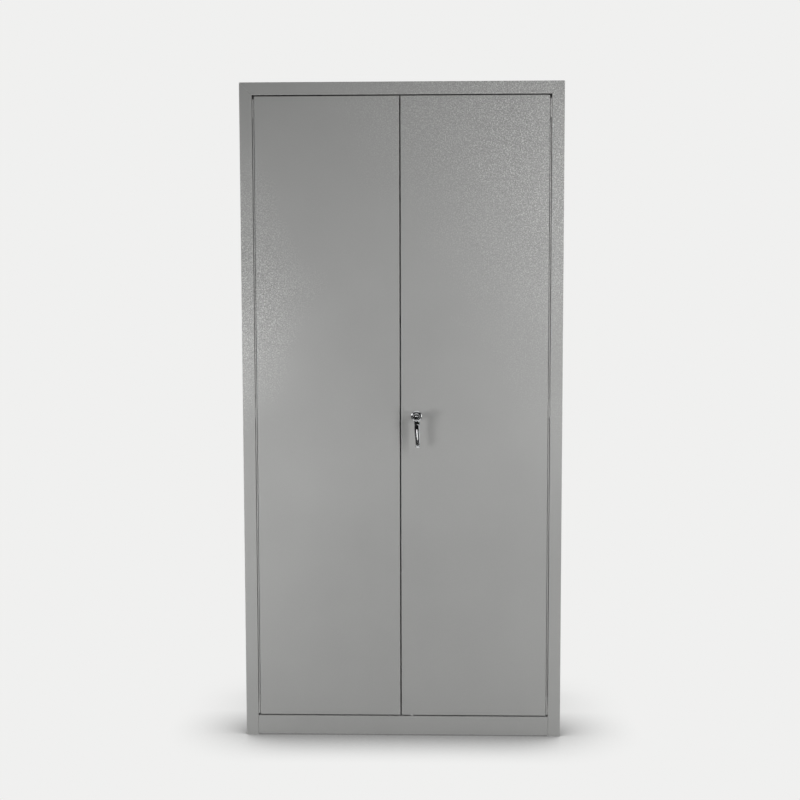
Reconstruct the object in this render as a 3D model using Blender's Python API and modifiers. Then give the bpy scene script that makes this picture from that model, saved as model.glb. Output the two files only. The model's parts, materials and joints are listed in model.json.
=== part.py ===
"""Steel office cabinet with two hinged doors, a turning handle and a three-point lock.

Metres, +Z up, the doors face -Y. Sizes below are given in the cabinet's own frame:
x = 0 at the middle of the width, y = 0 on the front face of the doors, z = 0 on the ground.
"""

import math

import bmesh
import bpy
from mathutils import Matrix, Vector

# Overall size
width = 0.900
height = 1.850
depth = 0.450

# Sheet metal and clearances
sheet = 0.0008
seat_gap = 0.0003
fold_radius = 0.0011
fold_steps = 3
round_steps = 24
small_round_steps = 16
rosette_steps = 32
weld_distance = 0.000001
cut_margin = 0.002
drawing_scale = 1000.0

# Front frame
post_face = 0.035
post_side = 0.022
top_rail_face = 0.0347
bottom_rail_top = 0.0568
bottom_rail_ground_gap = 0.003
bottom_rail_return = 0.045
rail_flange = 0.010
stop_lip = 0.016
stop_depth = 0.0235
mitre_seam = 0.0003

# Carcass flanges
carcass_flange = 0.015
back_flange = 0.012
floor_rise = 0.020
flange_front_start = 0.030
seam_flange = 0.012

# Doors
door_thickness = 0.020
door_lip = 0.012
door_gap = 0.0035
hinge_gap = 0.006
meeting_offset = -0.0049
stiffener_width = 0.060
stiffener_height = 0.014
stiffener_flange = 0.014
stiffener_end_gap = 0.060

# Hinges
hinge_length = 0.053
hinge_axis_depth = 0.0015
knuckle_radius = 0.0022
pin_radius = 0.0011
pin_clearance = 0.0003
pin_reach_share = 0.42
leaf_thickness = 0.0009
leaf_depth = 0.017
leaf_knuckle_clearance = 0.0021
top_hinge_from_door_top = 0.0348
middle_hinge_above_middle = 0.0070
bottom_hinge_from_door_bottom = 0.0292
edge_chamfer = 0.0003

# Shelf uprights, slots and clips
upright_width = 0.024
upright_depth = 0.012
upright_end_gap = 0.0035
upright_inset_front = 0.087
upright_inset_rear = 0.040
slot_width = 0.0136
slot_height = 0.0034
slot_pitch = 0.050
first_slot_rise = 0.0782
last_slot_margin = 0.060
clip_width = 0.0124
clip_thickness = 0.0014
clip_hook = 0.007
clip_drop = 0.014
clip_tongue = 0.014

# Shelves
shelf_count = 4
shelf_thickness = 0.025
shelf_lip = 0.014
shelf_front = 0.062
shelf_back_gap = 0.012
shelf_side_gap = 0.0008

# Handle
handle_from_middle = 0.0406
handle_height = 0.9223
rosette_radius = 0.0160
rosette_thickness = 0.0042
rosette_rim = 0.0012
neck_radius = 0.0080
neck_reach = 0.0062
nut_across_flats = 0.024
nut_thickness = 0.0040
hub_radius = 0.0105
hub_reach = 0.0330
hub_waist_radius = 0.0090
shank_radius = 0.0050
shank_square = 0.0068
shank_clearance = 0.0003
lever_length = 0.0865
lever_lean_degrees = 2.6
lever_middle_depth = 0.0225
lever_flatness_share = 0.62
bulb_radius = 0.0080
bulb_below = 0.0190
bulb_aside = 0.0026
neck_below = 0.0285
neck_half_width = 0.0066
grip_half_width = 0.0070
grip_end_half_width = 0.0057
grip_start = 0.038
grip_end = 0.0796
cap_half_width = 0.0066
cap_groove = 0.0009
cap_crown = 0.0016
cap_crown_width_share = 0.62
plug_radius = 0.0058
plug_length = 0.020
keyway_width = 0.0014
keyway_height = 0.0072
keyway_depth = 0.014

# Locking mechanism
pin_circle = 0.017
drive_pin_radius = 0.0025
drive_pin_clearance = 0.0007
cam_front = 0.0208
cam_thickness = 0.0025
cam_arm_half_width = 0.0070
cam_tongue_reach = 0.058
cam_tongue_half_width = 0.0065
cam_hub_radius = 0.0098
cam_screw_head_radius = 0.0052
cam_screw_head_height = 0.0026
cam_screw_radius = 0.0019
cam_screw_length = 0.0100
cam_screw_slot_width = 0.0010
cam_screw_slot_depth = 0.0009
bolt_radius = 0.0035
bolt_depth = 0.0105
bolt_tip_inset = 0.0006
bolt_tip_chamfer = 0.0012
yoke_thickness = 0.0030
yoke_wall = 0.0034
yoke_inner_gap = 0.0014
guide_width = 0.014
guide_thickness = 0.0012
guide_foot = 0.008
guide_from_door_end = 0.350

# Door buffers
buffer_width = 0.018
buffer_height = 0.008
buffer_from_meeting = 0.060

# Derived sizes
half_width = width / 2
opening_half = half_width - post_face
door_edge = opening_half - hinge_gap
hinge_axis = opening_half - hinge_gap / 2
door_top = height - top_rail_face - door_gap
door_bottom = bottom_rail_top + door_gap
opening_top = height - top_rail_face
handle_front = rosette_thickness + 2 * seat_gap + hub_reach
body_shift = -(depth - handle_front) / 2
inner_half = half_width - sheet - seat_gap
floor_top = bottom_rail_top + floor_rise
floor_front = stop_depth + sheet + seat_gap
upright_base = floor_top + seat_gap
upright_top = height - 2 * sheet - seat_gap - upright_end_gap
upright_web = half_width - sheet - seat_gap - upright_depth
first_slot = floor_top + first_slot_rise
slot_count = int((upright_top - first_slot - last_slot_margin) / slot_pitch) + 1
shelf_slot_step = round(slot_count / (shelf_count + 1))
bolt_offset = pin_circle * (1 + math.sqrt(0.5)) / 2
rest_pin_offset = pin_circle * math.sqrt(0.5)

# Surfaces
cabinet_grey = ((0.265, 0.268, 0.262, 1.0), 0.48, 0.35)
polished_chrome = ((0.72, 0.73, 0.74, 1.0), 0.10, 1.0)
zinc_plate = ((0.52, 0.53, 0.54, 1.0), 0.32, 0.9)
black_rubber = ((0.025, 0.025, 0.025, 1.0), 0.75, 0.0)


def clear_scene():
    """Takes everything out of the start-up scene."""
    for old in list(bpy.data.objects):
        bpy.data.objects.remove(old, do_unlink=True)


def new_collection(name):
    """A collection of this name, linked to the scene."""
    found = bpy.data.collections.new(name)
    bpy.context.scene.collection.children.link(found)
    return found


clear_scene()
parts = new_collection("office_cabinet")
cutters = new_collection("cutters")


def surface(name, values):
    """A material with this colour, roughness and metalness."""
    colour, roughness, metallic = values
    material = bpy.data.materials.new(name)
    material.use_nodes = True
    shader = material.node_tree.nodes["Principled BSDF"]
    shader.inputs["Base Color"].default_value = colour
    shader.inputs["Roughness"].default_value = roughness
    shader.inputs["Metallic"].default_value = metallic
    return material


paint = surface("cabinet_grey", cabinet_grey)
chrome = surface("polished_chrome", polished_chrome)
zinc = surface("zinc_plate", zinc_plate)
rubber = surface("black_rubber", black_rubber)


# Turns that lay a flat drawing or a tray the right way
lay_across = Matrix(((0, 0, 1), (1, 0, 0), (0, 1, 0))).to_4x4()
lay_facing = Matrix(((1, 0, 0), (0, 0, -1), (0, 1, 0))).to_4x4()
lay_upright = Matrix.Identity(4)
lay_sideways = Matrix(((0, 0, 1), (0, 1, 0), (-1, 0, 0))).to_4x4()
open_back = Matrix.Rotation(-math.pi / 2, 4, "X")
open_front = Matrix.Rotation(math.pi / 2, 4, "X")
open_down = Matrix.Rotation(math.pi, 4, "X")
axis_forward = Matrix.Rotation(math.pi / 2, 4, "X")


def holder(name, at, parent=None):
    """An empty that pieces hang on, on a joint's axis."""
    empty = bpy.data.objects.new(name, None)
    parts.objects.link(empty)
    empty.parent = parent
    origin = origin_of(parent) if parent else Vector((0, 0, 0))
    empty.location = Vector(at) - origin
    return empty


def origin_of(empty):
    """Where an empty stands in the cabinet's own frame."""
    at = Vector((0, 0, 0))
    while empty.parent is not None:
        at += empty.location
        empty = empty.parent
    return at


def hang(piece, empty, at=(0, 0, 0)):
    """Hangs a piece on an empty, with its origin at this point of the cabinet's frame."""
    piece.parent = empty
    piece.location = Vector(at) - origin_of(empty)
    return piece


def piece_from(name, mesh, material=None, at=(0, 0, 0), collection=None):
    """An object of this mesh, in the part's collection unless another is given."""
    made = bpy.data.objects.new(name, mesh)
    (collection or parts).objects.link(made)
    made.location = at
    if material is not None:
        mesh.materials.clear()
        mesh.materials.append(material)
    return made


def tool_from(name, mesh, at=(0, 0, 0)):
    """A cutter or a piece to be joined on, kept out of the render."""
    tool = piece_from(name, mesh, at=at, collection=cutters)
    tool.hide_render = True
    tool.display_type = "WIRE"
    return tool


def baked(tool):
    """The mesh of an object with its modifiers carried out, and the object gone."""
    bpy.context.view_layer.update()
    graph = bpy.context.evaluated_depsgraph_get()
    mesh = bpy.data.meshes.new_from_object(tool.evaluated_get(graph))
    mesh.transform(tool.matrix_world)
    bpy.data.objects.remove(tool, do_unlink=True)
    return mesh


def welded(mesh):
    """The mesh with its doubled points made one."""
    work = bmesh.new()
    work.from_mesh(mesh)
    bmesh.ops.remove_doubles(work, verts=work.verts, dist=weld_distance)
    bmesh.ops.recalc_face_normals(work, faces=work.faces)
    work.to_mesh(mesh)
    work.free()
    return mesh


def smooth(mesh):
    """Smooth shading, for round pieces."""
    for face in mesh.polygons:
        face.use_smooth = True
    return mesh


def drawn(name, outline, length, lay):
    """A closed outline drawn out by a length, half to each side, then laid with a turn."""
    curve = bpy.data.curves.new(name, "CURVE")
    curve.dimensions = "2D"
    curve.fill_mode = "BOTH"
    curve.extrude = length / 2 * drawing_scale
    spline = curve.splines.new("POLY")
    spline.points.add(len(outline) - 1)
    for point, (across, up) in zip(spline.points, outline):
        point.co = (across * drawing_scale, up * drawing_scale, 0, 1)
    spline.use_cyclic_u = True
    ribbon = bpy.data.objects.new(name, curve)
    cutters.objects.link(ribbon)
    mesh = baked(ribbon)
    bpy.data.curves.remove(curve)
    mesh.transform(Matrix.Scale(1 / drawing_scale, 4))
    mesh.transform(lay)
    return welded(mesh)


def folded(path, thickness, radius, steps=fold_steps):
    """The closed outline of a sheet folded along a path, which runs down its middle."""
    points = [Vector(point) for point in path]
    sides = ([], [])
    for i, point in enumerate(points):
        before = (point - points[i - 1]).normalized() if i else None
        after = (points[i + 1] - point).normalized() if i + 1 < len(points) else None
        if before is None or after is None:
            along = after or before
            across = Vector((-along.y, along.x)) * thickness / 2
            sides[0].append(point + across)
            sides[1].append(point - across)
            continue
        turn = before.angle_signed(after)
        way = -1 if turn > 0 else 1
        reach = radius * math.tan(abs(turn) / 2)
        start = point - before * reach
        centre = start + Vector((-before.y, before.x)) * radius * way
        for step in range(steps + 1):
            spun = Matrix.Rotation(-turn * step / steps, 2)
            out = (spun @ (start - centre)).normalized()
            sides[0].append(centre + out * (radius - way * thickness / 2))
            sides[1].append(centre + out * (radius + way * thickness / 2))
    return [tuple(point) for point in sides[0] + sides[1][::-1]]


def slab_mesh(name, low, high):
    """A plain block between two corners."""
    work = bmesh.new()
    bmesh.ops.create_cube(work, size=1)
    low, high = Vector(low), Vector(high)
    bmesh.ops.scale(work, vec=high - low, verts=work.verts)
    bmesh.ops.translate(work, vec=(low + high) / 2, verts=work.verts)
    mesh = bpy.data.meshes.new(name)
    work.to_mesh(mesh)
    work.free()
    return mesh


def merged(name, meshes):
    """Several meshes, which don't touch, in one."""
    work = bmesh.new()
    for mesh in meshes:
        work.from_mesh(mesh)
    whole = bpy.data.meshes.new(name)
    work.to_mesh(whole)
    work.free()
    return whole


def turned(name, profile, steps, lay, closed=False):
    """A profile turned about its axis. It runs down the outer side, top to bottom."""
    mesh = bpy.data.meshes.new(name)
    count = len(profile)
    links = [(i, i + 1) for i in range(count - 1)] + ([(count - 1, 0)] if closed else [])
    mesh.from_pydata([(radius, 0, rise) for radius, rise in profile], links, [])
    spun = bpy.data.objects.new(name, mesh)
    cutters.objects.link(spun)
    screw = spun.modifiers.new("turn", "SCREW")
    screw.steps = steps
    screw.render_steps = steps
    screw.use_merge_vertices = True
    screw.merge_threshold = weld_distance
    mesh = baked(spun)
    mesh.transform(lay)
    return smooth(welded(mesh))


def tray_mesh(name, length, breadth, rise, lip, lay, thickness=sheet, radius=fold_radius):
    """A folded tray with walls on four sides and, where asked, lips turned inwards.

    It is centred, opens towards +Z and is laid with a turn afterwards.
    """
    work = bmesh.new()
    bmesh.ops.create_cube(work, size=1)
    bmesh.ops.scale(work, vec=(length, breadth, rise), verts=work.verts)
    top = max(work.faces, key=lambda face: face.calc_center_median().z)
    if lip > 0:
        bmesh.ops.inset_region(work, faces=[top], thickness=lip, use_even_offset=True)
    bmesh.ops.delete(work, geom=[top], context="FACES")
    mesh = bpy.data.meshes.new(name)
    work.to_mesh(mesh)
    work.free()
    tray = bpy.data.objects.new(name, mesh)
    cutters.objects.link(tray)
    bevel = tray.modifiers.new("folds", "BEVEL")
    bevel.width = radius + thickness / 2
    bevel.segments = fold_steps - 1
    bevel.limit_method = "ANGLE"
    shell = tray.modifiers.new("sheet", "SOLIDIFY")
    shell.thickness = thickness
    shell.offset = -1
    shell.use_even_offset = True
    mesh = baked(tray)
    mesh.transform(lay)
    return mesh


def combine(piece, tool_mesh, operation, at=(0, 0, 0)):
    """Cuts a tool from a piece, or joins it on. Both stand in the cabinet's own frame."""
    tool = tool_from(f"{piece.name}_tool", tool_mesh, at)
    change = piece.modifiers.new(operation.lower(), "BOOLEAN")
    change.solver = "EXACT"
    change.operation = operation
    change.object = tool
    return tool


def shaped(name, mesh, tools):
    """A mesh after a list of (tool mesh, operation) has been carried out on it."""
    work = bpy.data.objects.new(name, mesh)
    cutters.objects.link(work)
    used = [combine(work, tool, operation) for tool, operation in tools]
    mesh = welded(baked(work))
    for tool in used:
        bpy.data.objects.remove(tool, do_unlink=True)
    return mesh


def mirrored(mesh, name):
    """The mesh on the other side of the cabinet's middle."""
    other = mesh.copy()
    other.name = name
    other.transform(Matrix.Scale(-1, 4, (1, 0, 0)))
    other.flip_normals()
    return other


def moved(mesh, by):
    """The mesh, moved."""
    mesh.transform(Matrix.Translation(by))
    return mesh


# Holders: one for the cabinet and one on the axis of each moving body
root = holder("office_cabinet_root", (0, 0, 0))
root.location = (0, body_shift, 0)
carcass = holder("carcass", (0, 0, 0), root)
left_pivot = holder("left_door_axis", (-hinge_axis, hinge_axis_depth, 0), root)
right_pivot = holder("right_door_axis", (hinge_axis, hinge_axis_depth, 0), root)
handle_pivot = holder("handle_axis", (handle_from_middle, 0, handle_height), right_pivot)
plug_pivot = holder("lock_plug_axis", (handle_from_middle, 0, handle_height), handle_pivot)


def mitre(side, outwards):
    """The prism that trims a corner of the front frame, above or below its mitred seam.

    Args:
        side: -1 for the left corner, 1 for the right.
        outwards: the seam's half width; above zero trims the post, below zero the rail.
    """
    inner = (opening_half, opening_top - outwards)
    outer = (half_width, height - outwards)
    slope = (outer[1] - inner[1]) / (outer[0] - inner[0])
    past = half_width + cut_margin
    end = (past, outer[1] + slope * cut_margin)
    lip_end = opening_half - stop_lip - seat_gap
    far = height + 2 * cut_margin if outwards > 0 else opening_top - 2 * stop_lip
    if outwards > 0:
        outline = [inner, end, (past, far), (lip_end, far), (lip_end, inner[1] - seat_gap)]
        outline.append((opening_half, inner[1] - seat_gap))
    else:
        inner_cut = opening_half - seat_gap
        low = opening_top - seat_gap
        outline = [(inner_cut, low), (inner_cut, inner[1] + slope * -seat_gap), end]
        outline += [(past, far), (lip_end, far), (lip_end, low)]
    reach = stop_depth + 2 * sheet + cut_margin
    prism = drawn("mitre", [(side * across, up) for across, up in outline], reach, lay_facing)
    return moved(prism, (0, reach / 2 - cut_margin, 0))


def front_post_mesh():
    """The left front post: stop lip, return, face, outer side and the flange to the wall."""
    wall = -half_width + sheet / 2
    face = sheet / 2
    inner = -opening_half - sheet / 2
    stop = stop_depth + sheet / 2
    back = post_side - sheet / 2
    path = [
        (-opening_half + stop_lip, stop),
        (inner, stop),
        (inner, face),
        (wall, face),
        (wall, back),
        (-half_width + seam_flange, back),
    ]
    section = folded(path, sheet, fold_radius)
    mesh = moved(drawn("front_post", section, height, lay_upright), (0, 0, height / 2))
    over_low = (-half_width - cut_margin, -cut_margin, height - sheet - seat_gap)
    over_high = (0, depth, height + cut_margin)
    lip_low = (-opening_half, stop_depth - sheet, -cut_margin)
    lip_high = (0, stop_depth + cut_margin, bottom_rail_top + seat_gap)
    tools = [
        (mitre(-1, mitre_seam), "DIFFERENCE"),
        (slab_mesh("over", over_low, over_high), "DIFFERENCE"),
        (slab_mesh("lip", lip_low, lip_high), "DIFFERENCE"),
    ]
    return shaped("front_post", mesh, tools)


def side_panel_mesh():
    """The left wall with its flanges: front to the post, rear, top and bottom."""
    wall = -half_width + sheet / 2
    front = post_side + seat_gap + sheet / 2
    rear = depth - sheet / 2
    path = [
        (-half_width + seam_flange, front),
        (wall, front),
        (wall, rear),
        (-half_width + carcass_flange, rear),
    ]
    top = height - sheet - seat_gap
    section = folded(path, sheet, fold_radius)
    mesh = moved(drawn("side_panel", section, top, lay_upright), (0, 0, top / 2))
    flange_end = depth - carcass_flange
    flange_low = (wall, flange_front_start, top - sheet)
    flange_high = (-half_width + carcass_flange, flange_end, top)
    foot_low = (wall, flange_front_start, 0)
    foot_high = (-half_width + carcass_flange, flange_end, sheet)
    rear_low = (-half_width - cut_margin, rear - sheet, height - carcass_flange - seat_gap)
    rear_high = (0, depth + cut_margin, height)
    tools = [
        (slab_mesh("rear", rear_low, rear_high), "DIFFERENCE"),
        (slab_mesh("flange", flange_low, flange_high), "UNION"),
        (slab_mesh("foot", foot_low, foot_high), "UNION"),
    ]
    return shaped("side_panel", mesh, tools)


def bolt_hole(side_x, low, high, radius):
    """An upright round cutter in the plane of the bolts."""
    profile = [(0, high), (radius, high), (radius, low), (0, low)]
    hole = turned("hole", profile, small_round_steps, lay_upright)
    return moved(hole, (side_x, bolt_depth, 0))


def top_panel_mesh():
    """The top with its front rail, stop lip and rear flange, mitred at both corners."""
    low = opening_top + sheet / 2
    top = height - sheet / 2
    path = [
        (stop_depth + sheet / 2, opening_top - stop_lip),
        (stop_depth + sheet / 2, low),
        (sheet / 2, low),
        (sheet / 2, top),
        (depth - sheet / 2, top),
        (depth - sheet / 2, height - carcass_flange),
    ]
    section = folded(path, sheet, fold_radius)
    mesh = drawn("top_panel", section, width, lay_across)
    keeper = bolt_hole(
        handle_from_middle + bolt_offset, opening_top - cut_margin, opening_top + 2 * cut_margin,
        bolt_radius + 2 * seat_gap,
    )
    tools = [(mitre(side, -mitre_seam), "DIFFERENCE") for side in (-1, 1)]
    tools.append((keeper, "DIFFERENCE"))
    return shaped("top_panel", mesh, tools)


def bottom_rail_mesh():
    """The rail under the doors: face, return over the top and two stiffening flanges."""
    low = bottom_rail_ground_gap + sheet / 2
    top = bottom_rail_top - sheet / 2
    path = [
        (back_flange, low),
        (sheet / 2, low),
        (sheet / 2, top),
        (bottom_rail_return, top),
        (bottom_rail_return, top - rail_flange),
    ]
    section = folded(path, sheet, fold_radius)
    mesh = drawn("bottom_rail", section, 2 * (opening_half - seat_gap), lay_across)
    keeper = bolt_hole(
        handle_from_middle - bolt_offset, bottom_rail_top - 2 * cut_margin, bottom_rail_top + cut_margin,
        bolt_radius + 2 * seat_gap,
    )
    return shaped("bottom_rail", mesh, [(keeper, "DIFFERENCE")])


def build_carcass():
    """Sides, front posts, top, back, floor and bottom rail."""
    for kind, left in (("side_panel", side_panel_mesh()), ("front_post", front_post_mesh())):
        right = mirrored(left, f"right_{kind}")
        hang(piece_from(f"left_{kind}", left, paint), carcass)
        hang(piece_from(f"right_{kind}", right, paint), carcass)
    hang(piece_from("top_panel", top_panel_mesh(), paint), carcass)
    hang(piece_from("bottom_rail", bottom_rail_mesh(), paint), carcass)
    back_top = height - 2 * (sheet + seat_gap)
    back_rise = back_top - bottom_rail_ground_gap
    back = tray_mesh("back_panel", 2 * inner_half, back_rise, back_flange, 0, open_front)
    back_y = depth - sheet - seat_gap - back_flange / 2
    back_z = bottom_rail_ground_gap + back_rise / 2
    hang(piece_from("back_panel", back, paint), carcass, (0, back_y, back_z))
    floor_back = depth - 2 * (sheet + seat_gap)
    floor_rise_full = floor_rise - seat_gap
    floor_depth = floor_back - floor_front
    floor_width = 2 * (inner_half - sheet - seat_gap)
    floor = tray_mesh("floor_panel", floor_width, floor_depth, floor_rise_full, 0, open_down)
    floor_y = (floor_back + floor_front) / 2
    floor_z = floor_top - floor_rise_full / 2
    hang(piece_from("floor_panel", floor, paint), carcass, (0, floor_y, floor_z))


def upright_mesh():
    """A slotted upright, its web facing +X, its origin on the web's face at the ground."""
    half = upright_width / 2
    edge = sheet / 2
    path = [
        (-upright_depth, half - edge),
        (-edge, half - edge),
        (-edge, -half + edge),
        (-upright_depth, -half + edge),
    ]
    length = upright_top - upright_base
    section = folded(path, sheet, fold_radius)
    mesh = drawn("upright", section, length, lay_upright)
    mesh = moved(mesh, (0, 0, upright_base + length / 2))
    slots = []
    for i in range(slot_count):
        low = first_slot + i * slot_pitch
        corner = (-sheet - cut_margin, -slot_width / 2, low)
        slots.append(slab_mesh("slot", corner, (cut_margin, slot_width / 2, low + slot_height)))
    return shaped("upright", mesh, [(merged("slots", slots), "DIFFERENCE")])


def clip_mesh():
    """A shelf clip. Its origin is on the web's face at the bottom edge of a slot."""
    half = clip_thickness / 2
    level = seat_gap + half
    behind = -sheet - seat_gap - half
    front = seat_gap + half
    drop = level - clip_drop
    path = [
        (behind, level + clip_hook),
        (behind, level),
        (front, level),
        (front, drop),
        (front + clip_tongue, drop),
    ]
    section = folded(path, clip_thickness, fold_radius)
    return drawn("clip", section, clip_width, lay_facing)


def build_shelving():
    """Four uprights, and on their slots the clips and the shelves."""
    upright = upright_mesh()
    clip = clip_mesh()
    sides = {"left": -1, "right": 1}
    rows = {"front": upright_inset_front, "rear": depth - upright_inset_rear}
    shelf_half = upright_web - seat_gap - clip_thickness - shelf_side_gap
    shelf_depth = depth - shelf_back_gap - shelf_front
    shelf = tray_mesh("shelf", 2 * shelf_half, shelf_depth, shelf_thickness, shelf_lip, open_down)
    shelf_y = shelf_front + shelf_depth / 2
    for side_name, side in sides.items():
        for row_name, row in rows.items():
            post = hang(
                piece_from(f"{side_name}_{row_name}_upright", upright, paint),
                carcass,
                (side * upright_web, row, 0),
            )
            post.rotation_euler = (0, 0, 0 if side < 0 else math.pi)
            for number in range(1, shelf_count + 1):
                slot = first_slot + (number * shelf_slot_step - 1) * slot_pitch
                hook = hang(
                    piece_from(f"{side_name}_{row_name}_clip_{number}", clip, zinc),
                    carcass,
                    (side * upright_web, row, slot),
                )
                hook.rotation_euler = (0, 0, 0 if side < 0 else math.pi)
    for number in range(1, shelf_count + 1):
        slot = first_slot + (number * shelf_slot_step - 1) * slot_pitch
        rest = slot + seat_gap + clip_thickness - clip_drop + seat_gap
        at = (0, shelf_y, rest + shelf_thickness / 2)
        hang(piece_from(f"shelf_{number}", shelf, paint), carcass, at)


def leaf_outline(knuckle_up):
    """A hinge leaf from the side: its full height at the back, half of it at the knuckle."""
    half = hinge_length / 2
    clear = knuckle_radius + leaf_knuckle_clearance
    gap = seat_gap / 2
    if knuckle_up:
        rows = [(0, half), (0, gap), (clear, gap), (clear, -half)]
        return rows + [(leaf_depth, -half), (leaf_depth, half)]
    rows = [(0, -gap), (0, -half), (leaf_depth, -half), (leaf_depth, half)]
    return rows + [(clear, half), (clear, -gap)]


def leaf_plate(name, side_x, knuckle_up):
    """The flat of a hinge leaf, standing at this distance from the hinge's axis."""
    plate = drawn(name, [(-up, back) for back, up in leaf_outline(knuckle_up)], leaf_thickness,
                  lay_sideways)
    return moved(plate, (side_x, 0, 0))


def frame_leaf_mesh():
    """The frame's half of a left hinge, with the pin, about the middle of its axis."""
    half = hinge_length / 2
    gap = seat_gap / 2
    pin_top = half * 2 * pin_reach_share
    profile = [
        (0, pin_top),
        (pin_radius - edge_chamfer, pin_top),
        (pin_radius, pin_top - edge_chamfer),
        (pin_radius, -gap),
        (knuckle_radius - edge_chamfer, -gap),
        (knuckle_radius, -gap - edge_chamfer),
        (knuckle_radius, -half + edge_chamfer),
        (knuckle_radius - edge_chamfer, -half),
        (0, -half),
    ]
    knuckle = turned("frame_knuckle", profile, small_round_steps, lay_upright)
    side_x = -(hinge_gap / 2 - seat_gap - leaf_thickness / 2)
    plate = leaf_plate("frame_leaf", side_x, False)
    return shaped("frame_leaf", knuckle, [(plate, "UNION")])


def door_leaf_mesh():
    """The door's half of a left hinge: a bored knuckle and its leaf."""
    half = hinge_length / 2
    gap = seat_gap / 2
    bore = pin_radius + pin_clearance
    profile = [
        (bore, half),
        (knuckle_radius - edge_chamfer, half),
        (knuckle_radius, half - edge_chamfer),
        (knuckle_radius, gap + edge_chamfer),
        (knuckle_radius - edge_chamfer, gap),
        (bore, gap),
    ]
    knuckle = turned("door_knuckle", profile, small_round_steps, lay_upright, closed=True)
    side_x = hinge_gap / 2 - seat_gap - leaf_thickness / 2
    plate = leaf_plate("door_leaf", side_x, True)
    bore_profile = [(0, half + cut_margin), (bore, half + cut_margin)]
    bore_profile += [(bore, -half - cut_margin), (0, -half - cut_margin)]
    cutter = turned("bore", bore_profile, small_round_steps, lay_upright)
    return shaped("door_leaf", knuckle, [(plate, "UNION"), (cutter, "DIFFERENCE")])


def build_hinges():
    """Three hinges for each door: frame leaves on the carcass, door leaves on the doors."""
    frame_left = frame_leaf_mesh()
    door_left = door_leaf_mesh()
    frame_right = mirrored(frame_left, "frame_leaf_right")
    door_right = mirrored(door_left, "door_leaf_right")
    places = {
        "top": door_top - top_hinge_from_door_top,
        "middle": (door_top + door_bottom) / 2 + middle_hinge_above_middle,
        "bottom": door_bottom + bottom_hinge_from_door_bottom,
    }
    for place, up in places.items():
        left_at = (-hinge_axis, hinge_axis_depth, up)
        right_at = (hinge_axis, hinge_axis_depth, up)
        hang(piece_from(f"left_{place}_frame_hinge", frame_left, paint), carcass, left_at)
        hang(piece_from(f"left_{place}_door_hinge", door_left, paint), left_pivot, left_at)
        hang(piece_from(f"right_{place}_frame_hinge", frame_right, paint), carcass, right_at)
        hang(piece_from(f"right_{place}_door_hinge", door_right, paint), right_pivot, right_at)


def door_mesh(name, low_x, high_x, tools):
    """A door: a folded tray that opens to the back, with holes where tools are given."""
    rise = door_top - door_bottom
    mesh = tray_mesh(name, high_x - low_x, rise, door_thickness, door_lip, open_back)
    middle = ((low_x + high_x) / 2, door_thickness / 2, door_bottom + rise / 2)
    return shaped(name, moved(mesh, middle), tools)


def stiffener_mesh():
    """The top-hat section that stiffens a door, about the middle of its length."""
    half = stiffener_width / 2
    foot = half + stiffener_flange
    edge = sheet / 2
    path = [(-foot, edge), (-half, edge), (-half, stiffener_height - edge)]
    path += [(half, stiffener_height - edge), (half, edge), (foot, edge)]
    length = door_top - door_bottom - 2 * stiffener_end_gap
    return drawn("stiffener", folded(path, sheet, fold_radius), length, lay_upright)


def build_doors():
    """Both door trays with their stiffeners."""
    meeting_left = meeting_offset - door_gap / 2
    meeting_right = meeting_offset + door_gap / 2
    left = door_mesh("left_door", -door_edge, meeting_left, [])
    neck_hole = neck_radius + seat_gap
    face_profile = [(0, cut_margin), (neck_hole, cut_margin)]
    face_profile += [(neck_hole, -cut_margin), (0, -cut_margin)]
    face_hole = turned("face_hole", face_profile, rosette_steps, axis_forward)
    bolt_clear = bolt_radius + seat_gap
    upper_x = handle_from_middle + bolt_offset
    lower_x = handle_from_middle - bolt_offset
    tools = [
        (moved(face_hole, (handle_from_middle, 0, handle_height)), "DIFFERENCE"),
        (bolt_hole(upper_x, door_top - cut_margin, door_top + cut_margin, bolt_clear), "DIFFERENCE"),
        (bolt_hole(lower_x, door_bottom - cut_margin, door_bottom + cut_margin, bolt_clear),
         "DIFFERENCE"),
    ]
    right = door_mesh("right_door", meeting_right, door_edge, tools)
    hang(piece_from("left_door", left, paint), left_pivot)
    hang(piece_from("right_door", right, paint), right_pivot)
    stiffener = stiffener_mesh()
    middle_z = (door_top + door_bottom) / 2
    behind = sheet + seat_gap
    left_x = (meeting_left - door_edge) / 2
    right_x = (meeting_right + door_edge) / 2
    left_at = (left_x, behind, middle_z)
    right_at = (right_x, behind, middle_z)
    hang(piece_from("left_door_stiffener", stiffener, paint), left_pivot, left_at)
    hang(piece_from("right_door_stiffener", stiffener, paint), right_pivot, right_at)


def rosette_mesh():
    """The rosette under the handle with its threaded neck through the door."""
    bore = shank_radius + shank_clearance
    back = -seat_gap
    profile = [
        (bore, rosette_thickness),
        (rosette_radius - 3 * rosette_rim, rosette_thickness),
        (rosette_radius - rosette_rim, rosette_thickness - rosette_rim / 2),
        (rosette_radius, rosette_thickness - 2 * rosette_rim),
        (rosette_radius, 0),
        (neck_radius, 0),
        (neck_radius, back - neck_reach),
        (bore, back - neck_reach),
    ]
    mesh = turned("rosette", profile, rosette_steps, axis_forward, closed=True)
    return moved(mesh, (0, back, 0))


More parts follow.
